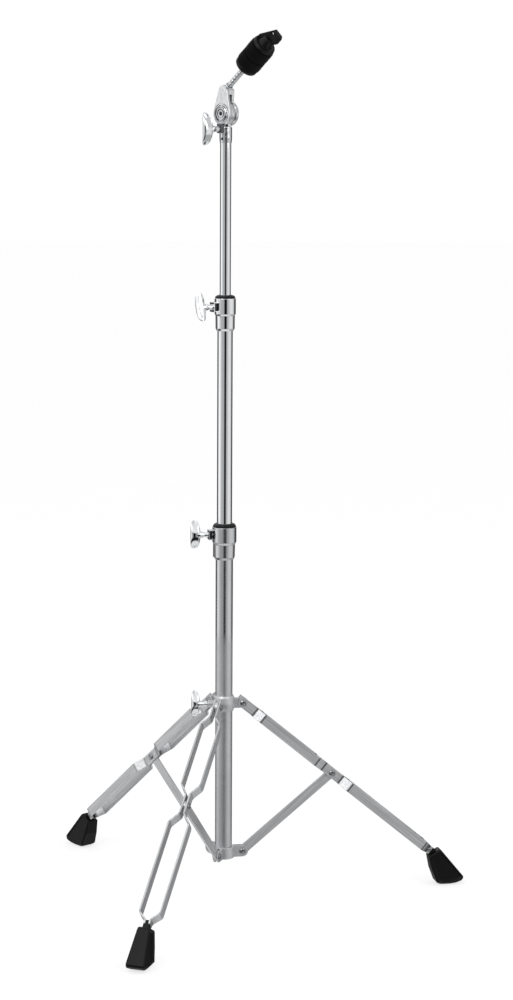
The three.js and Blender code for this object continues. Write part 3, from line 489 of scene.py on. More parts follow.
# Leg strips. Two mild steel strips to a leg, joggled outward between the rivets, where they are
# pinched on the collar's ear, on the brace and on the foot's insert. The edges are rolled slightly round.
strip_tree, start = new_tree("joggled_strip", {
    "Path": "Geometry", "Width": "Float", "Thickness": "Float", "Edge": "Float", "Taper start": "Float",
    "Taper end": "Float", "End share": "Float", "Cut start": "Float", "Cut end": "Float",
    "Cut share": "Float", "Finish": "Material"}, "Strip")
path = add_node(strip_tree, "GeometryNodeMeshToCurve", Mesh=start.outputs["Path"])
upright = add_node(strip_tree, "GeometryNodeSetCurveNormal", {"mode": "Z_UP"}, Curve=path.outputs[0])
section = add_node(strip_tree, "GeometryNodeCurvePrimitiveQuadrilateral",
                   _0=start.outputs["Thickness"], _1=start.outputs["Width"])
section = add_node(strip_tree, "GeometryNodeFilletCurve", {"mode": "POLY"}, Curve=section.outputs[0],
                   Radius=start.outputs["Edge"], Count=3)
swept = add_node(strip_tree, "GeometryNodeCurveToMesh", Curve=upright.outputs[0],
                 Profile_Curve=section.outputs[0], Fill_Caps=True)
where = add_node(strip_tree, "GeometryNodeInputPosition")
parts = add_node(strip_tree, "ShaderNodeSeparateXYZ", Vector=where.outputs[0])
taper = add_node(strip_tree, "ShaderNodeMapRange", Value=parts.outputs["X"], _1=start.outputs["Taper start"],
                 _2=start.outputs["Taper end"], _3=1.0, _4=start.outputs["End share"])
corner = add_node(strip_tree, "ShaderNodeMapRange", Value=parts.outputs["X"], _1=start.outputs["Cut end"],
                  _2=start.outputs["Cut start"], _3=start.outputs["Cut share"], _4=1.0)
below = add_node(strip_tree, "FunctionNodeCompare", {"operation": "LESS_THAN"}, _0=parts.outputs["Z"], _1=0.0)
lower = add_node(strip_tree, "GeometryNodeSwitch", {"input_type": "FLOAT"}, _0=below.outputs[0], _1=1.0,
                 _2=corner.outputs[0])
share = add_node(strip_tree, "ShaderNodeMath", {"operation": "MULTIPLY"}, _0=taper.outputs[0],
                 _1=lower.outputs[0])
across = add_node(strip_tree, "ShaderNodeMath", {"operation": "MULTIPLY"}, _0=parts.outputs["Z"],
                  _1=share.outputs[0])
fitted = add_node(strip_tree, "ShaderNodeCombineXYZ", X=parts.outputs["X"], Y=parts.outputs["Y"],
                  Z=across.outputs[0])
shaped = add_node(strip_tree, "GeometryNodeSetPosition", Geometry=swept.outputs[0],
                  Position=fitted.outputs[0])
end_tree(strip_tree, start, shaped.outputs[0])

STRIP_PATH = [(-9, 4.05), (23, 4.05), (37, 14.5), (144.5, 14.5), (160.5, 3.05), (194.5, 3.05),
              (210.5, 15.3), (361.5, 15.3), (373, 3.55), (379, 3.55)]
BEND = 3.2
# How dark the painted shade is in the folds. The right leg's are the darkest.
PAINTED_FOLD_SHADE = {"right": 0.85, "rear": 0.35, "front": 0.25}


def strip_points(side):
    top, end = STRIP_PATH[0], STRIP_PATH[-1]
    points = [(x, top[1] * side) for x in (top[0], -7.5, -6, -4.5, -2)]
    for i in range(1, len(STRIP_PATH) - 1):
        here = Vector(STRIP_PATH[i])
        back = here + (Vector(STRIP_PATH[i - 1]) - here).normalized() * BEND
        on = here + (Vector(STRIP_PATH[i + 1]) - here).normalized() * BEND
        for k in range(6):
            t = k / 5
            point = back.lerp(here, t).lerp(here.lerp(on, t), t)
            points.append((point.x, point.y * side))
    return points + [(x, end[1] * side) for x in (377, end[0])]


def leg_strip(side, dark):
    points = strip_points(side)
    path = bpy.data.meshes.new("path")
    path.from_pydata([(x, y, 0) for x, y in points], [(i, i + 1) for i in range(len(points) - 1)], [])
    data = grown(as_object("strip", path), strip_tree, Width=14.5, Thickness=2.5, Edge=0.45,
                 Taper_start=367.0, Taper_end=379.0, End_share=0.79, Cut_start=-4.5, Cut_end=-9.0,
                 Cut_share=-0.24, Finish=rolled_strip)
    mesh = as_bmesh(data)
    bmesh.ops.recalc_face_normals(mesh, faces=mesh.faces)
    # The fold lines of the path get the painted shade.
    return as_rolled(mesh, [x for x, y in STRIP_PATH[1:-1]], dark)


leg_frames = {leg: POLE @ spin(azimuth) @ shift(PIVOT_RADIUS, 0, upper_pivot) @ spin(90 - LEAN, "Y")
              for leg, azimuth in LEGS.items()}
for leg, at in leg_frames.items():
    for letter, side in (("a", 1), ("b", -1)):
        node = f"leg_{leg}_strip_{letter}"
        finished(f"{node}_joggled", leg_strip(side, PAINTED_FOLD_SHADE[leg]), rolled_strip,
                 f"leg_{leg}", [node], at, 40)
    places = [(s, face, 0, side, size) for s, face, size in ((0, 5.5, 1), (LINK, 4.5, 1), (375.5, 5.0, 0.58))
              for side in (1, -1)]
    nodes = [f"leg_{leg}_{end}" for end in ("top_rivet", "mid_rivet_a", "mid_rivet_b", "end_rivet")]
    rivets(f"leg_{leg}_rivet_heads", places, f"leg_{leg}", nodes, at)

# Leg-end inserts. A nylon tongue is riveted between the strips' ends, and its block plugs the foot.
INSERT_SHOULDER = 379.3
for leg, at in leg_frames.items():
    outline = rounded([(373.4, -2, 0.5), (INSERT_SHOULDER, -2), (INSERT_SHOULDER, -4.5, 0.6),
                       (401, -4.5, 0.6), (401, 4.5, 0.6), (INSERT_SHOULDER, 4.5, 0.6), (INSERT_SHOULDER, 2),
                       (373.4, 2, 0.5)])
    finished(f"foot_{leg}_insert_block", plate([outline], -5.7, 5.7), black_nylon,
             f"leg_{leg}", [f"foot_{leg}_insert"], at)

# Rubber feet. Moulded shoes pushed over the inserts, wider at the floor than at the mouth, with a
# rounded toe, a recess in each side panel and a flat sole.

# Moulded rubber: nearly black, with a soft sheen that dust breaks up in patches.
black_rubber, tree, place = new_finish("moulded_black_rubber")
grain = add_node(tree, "ShaderNodeTexNoise", Vector=place, Scale=per_mm(0.9), Detail=4)
dust = add_node(tree, "ShaderNodeTexNoise", Vector=place, Scale=per_mm(12), Detail=6, Roughness=0.7)
dusty = add_node(tree, "ShaderNodeMapRange", Value=dust.outputs[0], _1=0.45, _2=0.8)
coat(tree, (dusty, "#050505", "#101011"), (grain, 0.32, 0.5), (grain, 0.15, 0.0002), IOR=1.27)

MOUTH = PIVOT_RADIUS + 385 * math.sin(math.radians(LEAN))
FOOT_OUTLINE = [(-8.4, 45.3), (9.5, 55), (12.3, 52.6), (45.9, 11.7), (45.4, 8.3), (42.6, 5.4), (34.7, 1.5),
                (26.9, 0), (12.9, 0), (8.4, 1.2), (4.5, 3.4), (2.2, 9.7), (-3.4, 23.4)]
# Steps from a panel's edge inwards, and how deep the surface lies there.
PANEL = ((0, 2.0), (0.7, 0.7), (2.0, 0), (3.4, 0), (4.0, 0.5), (5.2, 1.7), (6.0, 2.0), (8, 2.0))


def half_width(z):
    return 14.25 - 5.5 * max(z - 5, 0) / 50 - 4.4 * max(5 - z, 0) / 5


def rubber_foot():
    mesh = bmesh.new()
    corners = [(x, z, 2.5 if 0 < i < 7 else 1.2) for i, (x, z) in enumerate(FOOT_OUTLINE)]
    outline = rounded(corners, 3)
    centre = Vector((14, 26))
    rings = []
    for side in (-1, 1):
        for inset, drop in PANEL:
            ring = []
            for point in outline:
                away = centre - point
                pulled = point + away.normalized() * min(inset, away.length * 0.8)
                y = side * (half_width(pulled.y) - drop)
                ring.append(mesh.verts.new((pulled.x, y, max(pulled.y, 0))))
            rings.append(ring)
    order = rings[len(PANEL) - 1::-1] + rings[len(PANEL):]
    for a, b in zip(order, order[1:]):
        for k in range(len(outline)):
            m = (k + 1) % len(outline)
            mesh.faces.new([a[k], a[m], b[m], b[k]])
    mesh.faces.new(order[0])
    mesh.faces.new(list(reversed(order[-1])))
    bmesh.ops.recalc_face_normals(mesh, faces=mesh.faces)
    return mesh


for leg, azimuth in LEGS.items():
    pocket = plate([[(379, -6.1), (401.3, -6.1), (401.3, 6.1), (379, 6.1)]], -4.8, 4.8, 0.2)
    pocket = moved(pocket, shift(PIVOT_RADIUS - MOUTH, 0, upper_pivot) @ spin(90 - LEAN, "Y") @ UPRIGHT)
    foot = combined(rubber_foot(), pocket, operation="DIFFERENCE")
    finished(f"foot_{leg}_shoe", foot, black_rubber, f"leg_{leg}", [f"foot_{leg}"],
             POLE @ spin(azimuth) @ shift(MOUTH), 50)

# Clamps. Each tube ends in a chromed pressed sleeve, stepped to hold a split nylon bushing, with a
# pressed cage at its side. A black square nut in the cage takes the wing bolt that squeezes the bushing.


# Black oxide on steel: a thin dark film, dull enough that only broad lights show in it.
def oxide(name, dark, pale):
    finish, tree, place = new_finish(name)
    grain = add_node(tree, "ShaderNodeTexNoise", Vector=place, Scale=per_mm(0.7), Detail=4)
    coat(tree, (grain, dark, pale), (grain, 0.38, 0.55), (grain, 0.15, 0.0001), Metallic=0.7)
    return finish


black_oxide = oxide("black_oxide_on_steel", "#1c1d1f", "#3a3c3e")


def clamp(prefix, body, bushing_body, wing_body, azimuth, turn, bore, inner, radii, steps, plating):
    low, top = heights(f"{prefix}_clamp_sleeve")
    main, waist, foot = radii
    reach = main + 6.6
    waist_low = low + steps[0]
    ledge = heights(f"{prefix}_tube")[1] + 0.3
    profile = [(bore, low, 0.2), (bore + 0.8, low, 0.5), (foot, waist_low, 1.5),
               (waist, waist_low + steps[1], 1.2), (main, low + sum(steps), 1.2), (main, top, 0.9),
               (main - 1.3, top), (main - 1.3, ledge), (bore, ledge)]
    bolt_z = sum(heights(f"{prefix}_clamp_nut")) / 2
    at = spin(azimuth) @ shift(z=bolt_z)
    side = rounded([(main - 0.6, -6.5), (reach - 2.3, -6.5, 2), (reach - 0.1, -4.4, 1),
                    (reach - 0.1, 4.4, 1), (reach - 2.3, 6.5, 2), (main - 0.6, 6.5)])
    cage = [moved(plate([side], *faces, 0.35), at) for faces in ((5.6, 7), (-7, -5.6))]
    face = rounded([(-6.5, -6.9), (6.5, -6.9), (6.5, 6.9), (-6.5, 6.9)])
    end = moved(plate([face, circle(3.3, 0, 0, 32)], reach - 1.4, reach, 0.3), at @ SIDEWAYS @ spin(90))
    rib_low = waist_low - bolt_z
    rib = [(bore + 1, rib_low), (main - 1.1, rib_low), (main - 1.1, -7), (bore + 1, -7)]
    cage.append(moved(plate([rib], -2.4, 2.4, 0.6), at @ UPRIGHT))
    sleeve = combined(turned(profile), *cage, end)
    finished(f"{prefix}_clamp_sleeve_pressed", sleeve, plating, body, [f"{prefix}_clamp_sleeve"])
    near, far = main + 0.6, reach - 1.7
    square = rounded([(near, -5.2, 0.6), (far, -5.2, 0.8), (far, 5.2, 0.8), (near, 5.2, 0.6)])
    finished(f"{prefix}_clamp_square_nut", plate([square], -5.2, 5.2, 0.5), black_oxide, body,
             [f"{prefix}_clamp_nut"], POLE @ at)
    low, high = heights(f"{prefix}_clamp_bushing")
    edge = main - 0.7
    bushing = turned([(inner, low, 0.3), (main - 1.6, low, 0.5), (main - 1.6, top + 0.2),
                      (edge, top + 0.3, 0.3), (edge, top + 1.6, 1.2), (edge - 1.4, high - 1.2, 2),
                      (inner + 1.6, high, 1), (inner, high, 0.3)])
    finished(f"{prefix}_clamp_bushing_split", bushing, black_nylon, bushing_body,
             [f"{prefix}_clamp_bushing"])
    bolt = moved(wing_bolt(tip=main - 1.2, start=reach + 11.1, depth=15, span=42), spin(turn, "X"))
    finished(f"{prefix}_clamp_wing_bolt_cast", bolt, bright_chrome, wing_body,
             [f"{prefix}_clamp_wing_bolt"], POLE @ at)


clamp("base", "base", "middle_turn", "base_clamp_wing", azimuth=190, turn=0, bore=13, inner=11.4,
      radii=(17.6, 15.6, 15.2), steps=(3.7, 18.5, 3.7), plating=satin_chrome)

# Middle tube. Seven-eighths tube in bright chrome, which draws out of the base clamp and turns in it.
finished("middle_tube_bright", tube(11.1, *heights("middle_tube")), bright_chrome, "middle",
         ["middle_tube"])
clamp("middle", "middle", "upper_turn", "middle_clamp_wing", azimuth=210, turn=196, bore=11.4, inner=8.25,
      radii=(15.3, 13.9, 13.8), steps=(3.5, 18.1, 2.9), plating=bright_chrome)

# Upper tube. Five-eighths tube in bright chrome. The tilter's socket is pinned on its top end.
finished("upper_tube_bright", tube(7.95, *heights("upper_tube")), bright_chrome, "upper",
         ["upper_tube"])

# Chrome on a zinc casting: the same plate over a hand-fettled surface, so it is greyer and its
# reflections waver.
cast_chrome, tree, place = new_finish("chrome_on_zinc_casting")
waves = add_node(tree, "ShaderNodeTexNoise", Vector=place, Scale=per_mm(5), Detail=3)
pits = add_node(tree, "ShaderNodeTexNoise", Vector=place, Scale=per_mm(0.9), Detail=3)
coat(tree, (waves, "#a6a8aa", "#f2f4f6"), (pits, 0.08, 0.2), (waves, 0.5, 0.0008), Metallic=1.0)

# Tilter body. A zinc casting, chromed: a socket on the upper tube, and a round blade that the arm's
# two cheeks clasp through thin friction discs. A set screw locks the socket.
FLOOR = -40.8
CROWN = -17.3
DRUM = heights("tilter_body")[0] - FLOOR
TILTER = POLE @ shift(z=DRUM) @ spin(222.5)
CROSSWISE = spin(90) @ UPRIGHT
socket = turned([(8.2, FLOOR, 0.3), (8.5, FLOOR, 0.3), (9, FLOOR + 6.2, 3), (9, CROWN - 1.4, 1.6),
                 (6.5, CROWN, 1.5), (0, CROWN), (0, FLOOR + 12.8), (8.2, FLOOR + 12.8)], 72)
blade = moved(turned([(0, -2.4), (16.2, -2.4, 0.5), (16.2, 2.4, 0.5), (0, 2.4)]), SIDEWAYS)
neck = moved(plate([[(-8, -2), (-8, CROWN - 1), (8, CROWN - 1), (8, -2)]], -2.4, 2.4), CROSSWISE)
finished("tilter_body_cast", combined(socket, blade, neck), cast_chrome, "upper", ["tilter_body"],
         TILTER)
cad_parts["tilter_set_screw"].data.materials[0] = black_oxide
for node in ("tilter_friction_disc_near", "tilter_friction_disc_far"):
    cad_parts[node].data.materials[0] = plated_strip

# Brake shoe. A pressed and blackened steel hook round the wing bolt, whose lip presses the near cheek.
# Its black has rubbed off to grey.
worn_oxide = oxide("worn_black_oxide_on_steel", "#3e4043", "#6e7174")
BOLT_LEVEL = shift(z=-21.5)
outline = rounded([(9.3, -27.4, 0.6), (12.9, -27.4, 0.6), (12.9, -14, 1.2), (9.3, -14, 1.2)])
hook = moved(plate([outline], -5, 5, 0.6), UPRIGHT)
boss = moved(bar(4, 12, 14.7, 40, 0.6), BOLT_LEVEL @ SIDEWAYS)
hole = moved(bar(3.3, 0, 20, 32, 0), BOLT_LEVEL @ SIDEWAYS)
shoe = combined(combined(hook, boss), hole, operation="DIFFERENCE")
finished("tilter_brake_shoe_pressed", shoe, worn_oxide, "upper", ["tilter_brake_shoe"], TILTER)
bolt = wing_bolt(tip=-2.6, start=25.8, depth=17, span=46)
finished("tilter_wing_bolt_cast", bolt, bright_chrome, "tilter_wing", ["tilter_wing_bolt"],
         TILTER @ BOLT_LEVEL)

# Tilter arm. A chromed zinc fork: two ringed cheeks on the pivot bolt, joined above the blade by a
# head whose slanted boss is threaded for the cymbal rod.
NECK_TILT = 4
NECK_TURN = spin(-NECK_TILT, "X")
TIP = 35
tip_at = (0, TIP * math.sin(math.radians(NECK_TILT)), TIP * math.cos(math.radians(NECK_TILT)))
ROD = shift(*tip_at) @ spin(-52.35, "X")
CHEEK = 17
EYE = 8.5
RISE = 31.5
tangent = math.degrees(math.asin((CHEEK - EYE) / RISE))
teardrop = [*circle(CHEEK, 0, 0, 64, 180 - tangent, 360 + tangent),
            *circle(EYE, 0, RISE, 32, tangent, 180 - tangent)]
near = moved(plate([teardrop], 4, 8.6, 0.9), NECK_TURN @ CROSSWISE)
rings = moved(turned([(0, 8), (13.4, 8), (12.9, 9.3, 0.5), (10.9, 9.6, 0.5), (10, 10.2, 0.5),
                      (4.4, 10.2, 0.4), (3.9, 10, 0.3), (0, 10)]), SIDEWAYS)
grooves = [moved(turned([(r, 7), (r + wide, 7), (r + wide + 0.4, 11), (r - 0.4, 11)]), SIDEWAYS)
           for r, wide in ((5.6, 1.3), (8.9, 0.6), (11.2, 0.6), (14, 0.5))]
near = combined(combined(near, rings), *grooves, operation="DIFFERENCE")
far = moved(turned([(0, -4), (16.3, -4), (17, -4.7), (17, -9.4), (15.4, -10.4, 1), (0, -10.4)]), SIDEWAYS)
cheek = rounded([(-6.5, 2), (6.5, 2), (6.5, 34.9, 2.5), (-6.5, 34.9, 2.5)])
head = rounded([(-6.5, 26.3, 1.2), (6.5, 26.3, 1.2), (6.5, 34.9, 2.5), (-6.5, 34.9, 2.5)])
parts = [moved(plate([cheek], -8.6, -4, 0.8), NECK_TURN @ CROSSWISE),
         moved(plate([head], -8.6, 6, 0.8), NECK_TURN @ CROSSWISE),
         moved(turned([(0, -14.7), (5.8, -14.7, 1.2), (5.8, 6.1, 0.8), (5.1, 6.8, 0.4), (4.6, 6.8, 0.2),
                       (4.6, -7.6), (0, -7.6)], 64), ROD)]
finished("tilter_arm_cast", combined(near, far, *parts), cast_chrome, "arm", ["tilter_arm"], TILTER)
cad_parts["tilter_pivot_bolt"].data.materials[0] = black_oxide

# Cymbal rod. Eight millimetre rod, threaded from end to end, screwed into the arm's boss. The thread
# is a helix of small crests on a plain core, cut only where the rod is in sight.
thread_tree, start = new_tree("rolled_thread", {"Radius": "Float", "Pitch": "Float", "Depth": "Float",
                                                "Bottom": "Float", "Length": "Float", "Finish": "Material"},
                              "Rod")
turns = add_node(thread_tree, "ShaderNodeMath", {"operation": "DIVIDE"}, _0=start.outputs["Length"],
                 _1=start.outputs["Pitch"])
crest = add_node(thread_tree, "ShaderNodeMath", {"operation": "SUBTRACT"}, _0=start.outputs["Radius"],
                 _1=start.outputs["Depth"])
helix = add_node(thread_tree, "GeometryNodeCurveSpiral", Resolution=36, Rotations=turns.outputs[0],
                 Start_Radius=crest.outputs[0], End_Radius=crest.outputs[0], Height=start.outputs["Length"])
ridge = add_node(thread_tree, "GeometryNodeCurvePrimitiveCircle", {"mode": "RADIUS"}, Resolution=4,
                 Radius=start.outputs["Depth"])
ridges = add_node(thread_tree, "GeometryNodeCurveToMesh", Curve=helix.outputs[0],
                  Profile_Curve=ridge.outputs[0], Fill_Caps=True)
lift = add_node(thread_tree, "ShaderNodeCombineXYZ", Z=start.outputs["Bottom"])
raised = add_node(thread_tree, "GeometryNodeTransform", Geometry=ridges.outputs[0],
                  Translation=lift.outputs[0])
end_tree(thread_tree, start, raised.outputs[0])

ROD_FRAME = TILTER @ ROD
rod_mesh = as_bmesh(grown(as_object("thread", bpy.data.meshes.new("thread")), thread_tree, Radius=4.25,
                          Pitch=1.25, Depth=0.42, Bottom=7.5, Length=38.0, Finish=satin_chrome))
core = as_object("core", turned([(0, -7.3), (3.85, -7.3, 0.4), (3.85, 107.9, 0.6), (0, 107.9)], 64))
rod_mesh.from_mesh(core.data)
bpy.data.objects.remove(core)
bmesh.ops.recalc_face_normals(rod_mesh, faces=rod_mesh.faces)
finished("cymbal_rod_threaded", rod_mesh, satin_chrome, "arm", ["cymbal_rod"], ROD_FRAME, 60)
SLEEVE_BORE = 4.6
washer = turned([(SLEEVE_BORE, 46.1, 0.2), (12, 46.1, 0.5), (12, 47.7, 0.5), (SLEEVE_BORE, 47.7, 0.2)])
finished("seat_washer_plated", washer, plated_strip, "arm", ["seat_washer"], ROD_FRAME)

# Cymbal sleeve. A moulded nylon tube with a wide flange that keeps the cymbal off the rod.
sleeve = turned([(SLEEVE_BORE, 48, 0.2), (14.4, 48, 1), (17, 49.3, 1.5), (17, 53, 1.2), (15.4, 54.5, 0.8),
                 (6.3, 54.5, 0.3), (6.3, 93.4, 0.4), (SLEEVE_BORE, 93.4, 0.2)])
finished("cymbal_sleeve_moulded", sleeve, black_nylon, "cymbal_seat", ["cymbal_sleeve"],
         ROD_FRAME)

# Felts. Two thick washers punched from pressed wool felt, dense and black, with fibres standing
# off the cut faces. The cymbal hangs between them.

# Pressed wool felt: it takes in nearly all light, so only a rough edge and a faint sheen show.
pressed_felt, tree, place = new_finish("pressed_black_wool_felt")
fibre = add_node(tree, "ShaderNodeTexNoise", Vector=place, Scale=per_mm(0.6), Detail=6, Roughness=0.75)
clump = add_node(tree, "ShaderNodeTexVoronoi", {"feature": "F1"}, Vector=place, Scale=per_mm(1.8))
mixed = add_node(tree, "ShaderNodeMath", {"operation": "MULTIPLY"}, _0=fibre.outputs[0], _1=clump.outputs[0])
coat(tree, (fibre, "#020202", "#080808"), 0.95, (mixed, 0.7, 0.0004), IOR=1.2, Sheen_Weight=0.03,
     Sheen_Roughness=0.5)

fibre_tree, start = new_tree("felt_fibres", {"Felt": "Geometry", "Density": "Float", "Length": "Float",
                                             "Thickness": "Float", "Seed": "Int", "Finish": "Material"},
                             "Felt")
spread = add_node(fibre_tree, "GeometryNodeDistributePointsOnFaces", Mesh=start.outputs["Felt"],
                  Density=start.outputs["Density"], Seed=start.outputs["Seed"])
hair = add_node(fibre_tree, "GeometryNodeMeshCone", {"fill_type": "TRIANGLE_FAN"}, Vertices=3,
                Side_Segments=1, Fill_Segments=1, Radius_Top=0.01, Radius_Bottom=start.outputs["Thickness"],
                Depth=start.outputs["Length"])
tilt = add_node(fibre_tree, "FunctionNodeRandomValue", {"data_type": "FLOAT_VECTOR"}, _0=(-0.9, -0.9, 0),
                _1=(0.9, 0.9, 6.3), Seed=start.outputs["Seed"])
bent = add_node(fibre_tree, "FunctionNodeRotateEuler", {"space": "LOCAL"},
                Rotation=spread.outputs["Rotation"], Rotate_By=tilt.outputs[0])
hairs = add_node(fibre_tree, "GeometryNodeInstanceOnPoints", Points=spread.outputs["Points"],
                 Instance=hair.outputs["Mesh"], Rotation=bent.outputs[0])
plain = add_node(fibre_tree, "GeometryNodeRealizeInstances", Geometry=hairs.outputs[0])
together = add_node(fibre_tree, "GeometryNodeJoinGeometry")
for source in (plain.outputs[0], start.outputs["Felt"]):
    fibre_tree.links.new(source, together.inputs[0])
end_tree(fibre_tree, start, together.outputs[0])

FELT_BORE = 6.7
for seed, (node, low) in enumerate((("lower_felt", 54.8), ("upper_felt", 74.3))):
    high = low + 19.2
    mesh = turned([(FELT_BORE, low, 0.4), (17.9, low, 2.2), (17.95, low + 6), (17.85, low + 13),
                   (17.8, high, 2.2), (FELT_BORE, high, 0.4)], 128)
    long_edges = [edge for edge in mesh.edges if edge.calc_length() > 3]
    bmesh.ops.subdivide_edges(mesh, edges=long_edges, cuts=6, use_grid_fill=True)
    for vertex in mesh.verts:
        if vertex.co.xy.length > 8:
            push = noise.fractal(vertex.co * 0.35 + Vector((0, 0, seed * 40)), 0.8, 2, 3) * 0.16
            vertex.co -= Vector((vertex.co.x, vertex.co.y, 0)).normalized() * abs(push)
    mesh = grown(as_object(node, mesh), fibre_tree, Density=0.9, Length=0.9, Thickness=0.07, Seed=seed,
                 Finish=pressed_felt)
    felt = finished(f"{node}_pressed", mesh, pressed_felt, "cymbal_seat", [node], ROD_FRAME, 60)

# Wing nut. One nylon moulding on the rod's end: a bevelled round flange, a tapering hub, and a flat
# tab to turn it by, pierced near its edge.
hub = turned([(0, 93.8), (15.8, 93.8, 0.8), (17, 95.1, 0.8), (16.6, 97.2, 0.6), (15.3, 99.1, 0.8),
              (10.6, 99.3, 0.6), (9.6, 102, 3), (7.2, 110.9, 1.5), (0, 111.2)])
outline = rounded([(-15, 97.6, 0.5), (10, 97.6), (10, 109.5, 3), (13.5, 113.6, 3), (13.5, 122.9, 2),
                   (11, 127.2, 2), (-2, 127.2, 2), (-5.5, 120.5, 4), (-15.5, 102.4, 1.5)])
tab = moved(plate([outline, circle(2.3, -1.2, 119.9, 32)], -3, 3, 1), UPRIGHT)
bore = bar(SLEEVE_BORE, 90, 108.3, 48, 0.2)
nut = combined(combined(hub, tab), bore, operation="DIFFERENCE")
finished("cymbal_wing_nut_moulded", nut, black_nylon, "wing_nut", ["cymbal_wing_nut"],
         ROD_FRAME @ spin(105))

# Studio. A pale floor that keeps the stand's shadow, a white surround, and for polished metal a
# ring of light and dark panels that gives chrome its upright bands.
floor_paint, tree, place = new_finish("white_studio_floor")
mottle = add_node(tree, "ShaderNodeTexNoise", Vector=place, Scale=6.0, Detail=3)
tone = add_node(tree, "ShaderNodeMix", {"data_type": "RGBA"}, _0=mottle.outputs[0],
                _6=linear("#fbfbfb"), _7=linear("#ffffff"))
matt = add_node(tree, "ShaderNodeBsdfDiffuse", Color=tone.outputs[2])
clear = add_node(tree, "ShaderNodeBsdfTransparent")
rays = add_node(tree, "ShaderNodeLightPath")
glow = add_node(tree, "ShaderNodeEmission", Color=(1, 1, 1, 1), Strength=1.12)
half = add_node(tree, "ShaderNodeMixShader", Fac=0.35, _1=glow.outputs[0], _2=matt.outputs[0])
seen = add_node(tree, "ShaderNodeMixShader", Fac=rays.outputs["Is Glossy Ray"], _1=half.outputs[0],
                _2=clear.outputs[0])
add_node(tree, "ShaderNodeOutputMaterial", Surface=seen.outputs[0])
bpy.ops.mesh.primitive_plane_add(size=40, location=(0, 0, -0.0005))
floor_sheet = bpy.context.object
floor_sheet.name = "studio_floor"
floor_sheet.data.materials.append(floor_paint)
floor_sheet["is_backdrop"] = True

# Tone of the surround by compass bearing: 0 is straight behind the camera, and 90 is to its right.
world = bpy.data.worlds.new("studio_surround")
bpy.context.scene.world = world
world.use_nodes = True
tree = world.node_tree
tree.nodes.clear()
way = add_node(tree, "ShaderNodeTexCoord").outputs["Generated"]
parts = add_node(tree, "ShaderNodeSeparateXYZ", Vector=way)
back = add_node(tree, "ShaderNodeMath", {"operation": "MULTIPLY"}, _0=parts.outputs["Y"], _1=-1.0)
bearing = add_node(tree, "ShaderNodeMath", {"operation": "ARCTAN2"}, _0=parts.outputs["X"],
                   _1=back.outputs[0]).outputs[0]
height = parts.outputs["Z"]
share = add_node(tree, "ShaderNodeMapRange", Value=bearing, _1=-math.pi, _2=math.pi)
ramp = add_node(tree, "ShaderNodeValToRGB", Fac=share.outputs[0])
stops = [(-180, "#3c3c3c"), (-118, "#4a4a4a"), (-104, "#f6f6f6"), (-84, "#ffffff"), (-66, "#dcdcdc"),
         (-48, "#b4b4b4"), (-14, "#a8a8a8"), (-4, "#080808"), (15, "#080808"), (24, "#aaaaaa"),
         (44, "#c8c8c8"), (62, "#e6e6e6"), (88, "#e0e0e0"), (104, "#c4c4c4"), (118, "#484848"),
         (180, "#3c3c3c")]
ramp.color_ramp.interpolation = "LINEAR"
while len(ramp.color_ramp.elements) < len(stops):
    ramp.color_ramp.elements.new(0.5)
for element, (angle, tone) in zip(ramp.color_ramp.elements, stops):
    element.position = (angle + 180) / 360
for element, (angle, tone) in zip(ramp.color_ramp.elements, stops):
    element.color = linear(tone)

# Above the panels hangs a ceiling, greyer to the right. Below them lie a dark skirt, which fades out
# round the back, and under it a pale ground.
shade, left, right = [add_node(tree, "ShaderNodeMapRange", Value=bearing, _1=math.radians(none),
                               _2=math.radians(full)).outputs[0]
                      for none, full in ((-20, 70), (-120, -100), (55, 35))]
front = add_node(tree, "ShaderNodeMath", {"operation": "MULTIPLY"}, _0=left, _1=right)
ceiling = add_node(tree, "ShaderNodeMix", {"data_type": "RGBA"}, _0=shade, _6=(1, 1, 1, 1),
                   _7=linear("#c8c8c8"))
skirt = add_node(tree, "ShaderNodeMix", {"data_type": "RGBA"}, _0=front.outputs[0], _6=linear("#a8a8a8"),
                 _7=linear("#181818"))
above = add_node(tree, "ShaderNodeMapRange", Value=height, _1=0.04, _2=0.16)
panels = add_node(tree, "ShaderNodeMix", {"data_type": "RGBA"}, _0=above.outputs[0], _6=ramp.outputs[0],
                  _7=ceiling.outputs[2])
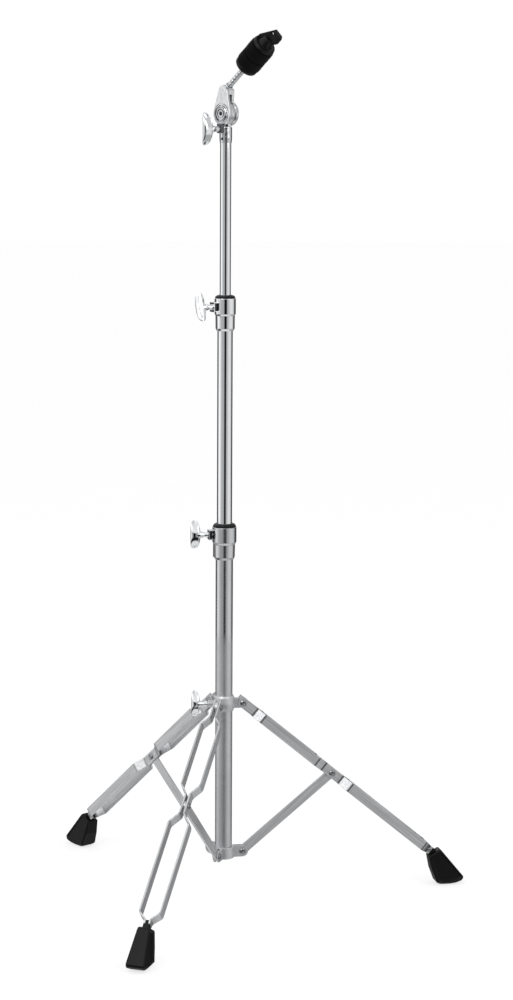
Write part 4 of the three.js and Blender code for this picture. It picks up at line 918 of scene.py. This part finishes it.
for colour, none, full in ((skirt.outputs[2], -0.42, -0.32), (linear("#e0e0e0"), -0.78, -0.66)):
    level = add_node(tree, "ShaderNodeMapRange", Value=height, _1=none, _2=full)
    panels = add_node(tree, "ShaderNodeMix", {"data_type": "RGBA"}, _0=level.outputs[0], _6=colour,
                      _7=panels.outputs[2])
rays = add_node(tree, "ShaderNodeLightPath")
polished = add_node(tree, "ShaderNodeBackground", Color=panels.outputs[2], Strength=1.1)
soft = add_node(tree, "ShaderNodeBackground", Color=(1, 1, 1, 1), Strength=0.75)
white = add_node(tree, "ShaderNodeBackground", Color=(1, 1, 1, 1), Strength=1.0)
lit = add_node(tree, "ShaderNodeMixShader", Fac=rays.outputs["Is Glossy Ray"], _1=soft.outputs[0],
               _2=polished.outputs[0])
seen = add_node(tree, "ShaderNodeMixShader", Fac=rays.outputs["Is Camera Ray"], _1=lit.outputs[0],
                _2=white.outputs[0])
add_node(tree, "ShaderNodeOutputWorld", Surface=seen.outputs[0])

LAMPS = (("soft_key", (-1.6, -2.4, 2.6), 1.6, 26), ("soft_fill", (2.2, -1.8, 1.9), 1.8, 14))
for name, offset, size, power in LAMPS:
    lamp = bpy.data.lights.new(name, "AREA")
    lamp.size = size
    lamp.energy = power
    holder = bpy.data.objects.new(name, lamp)
    holder.location = Vector((pole_x, pole_y, 0)) + Vector(offset)
    aim = Vector((pole_x, pole_y, 0.6)) - holder.location
    holder.rotation_euler = aim.to_track_quat("-Z", "Y").to_euler()
    bpy.context.scene.collection.objects.link(holder)

# Camera. It stands 3.6 m in front of the pole and looks ten degrees down, as the photograph was taken.
LOOK_DOWN = 0.17902
ROLL = 0.00341
camera = bpy.data.cameras.new("photo_view")
camera.lens = 89.42
camera.sensor_width = 36
camera.shift_x = 0.0322
camera.shift_y = 0.0667
camera.clip_end = 100
holder = bpy.data.objects.new("photo_view", camera)
bpy.context.scene.collection.objects.link(holder)
holder.location = Vector((pole_x, pole_y - 3.5785, 1.1476))
turn = Matrix.Rotation(math.pi / 2 - LOOK_DOWN, 4, "X") @ Matrix.Rotation(ROLL, 4, "Z")
holder.rotation_euler = turn.to_euler()
bpy.context.scene.camera = holder
bpy.context.scene.view_settings.view_transform = "Standard"

low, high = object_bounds()
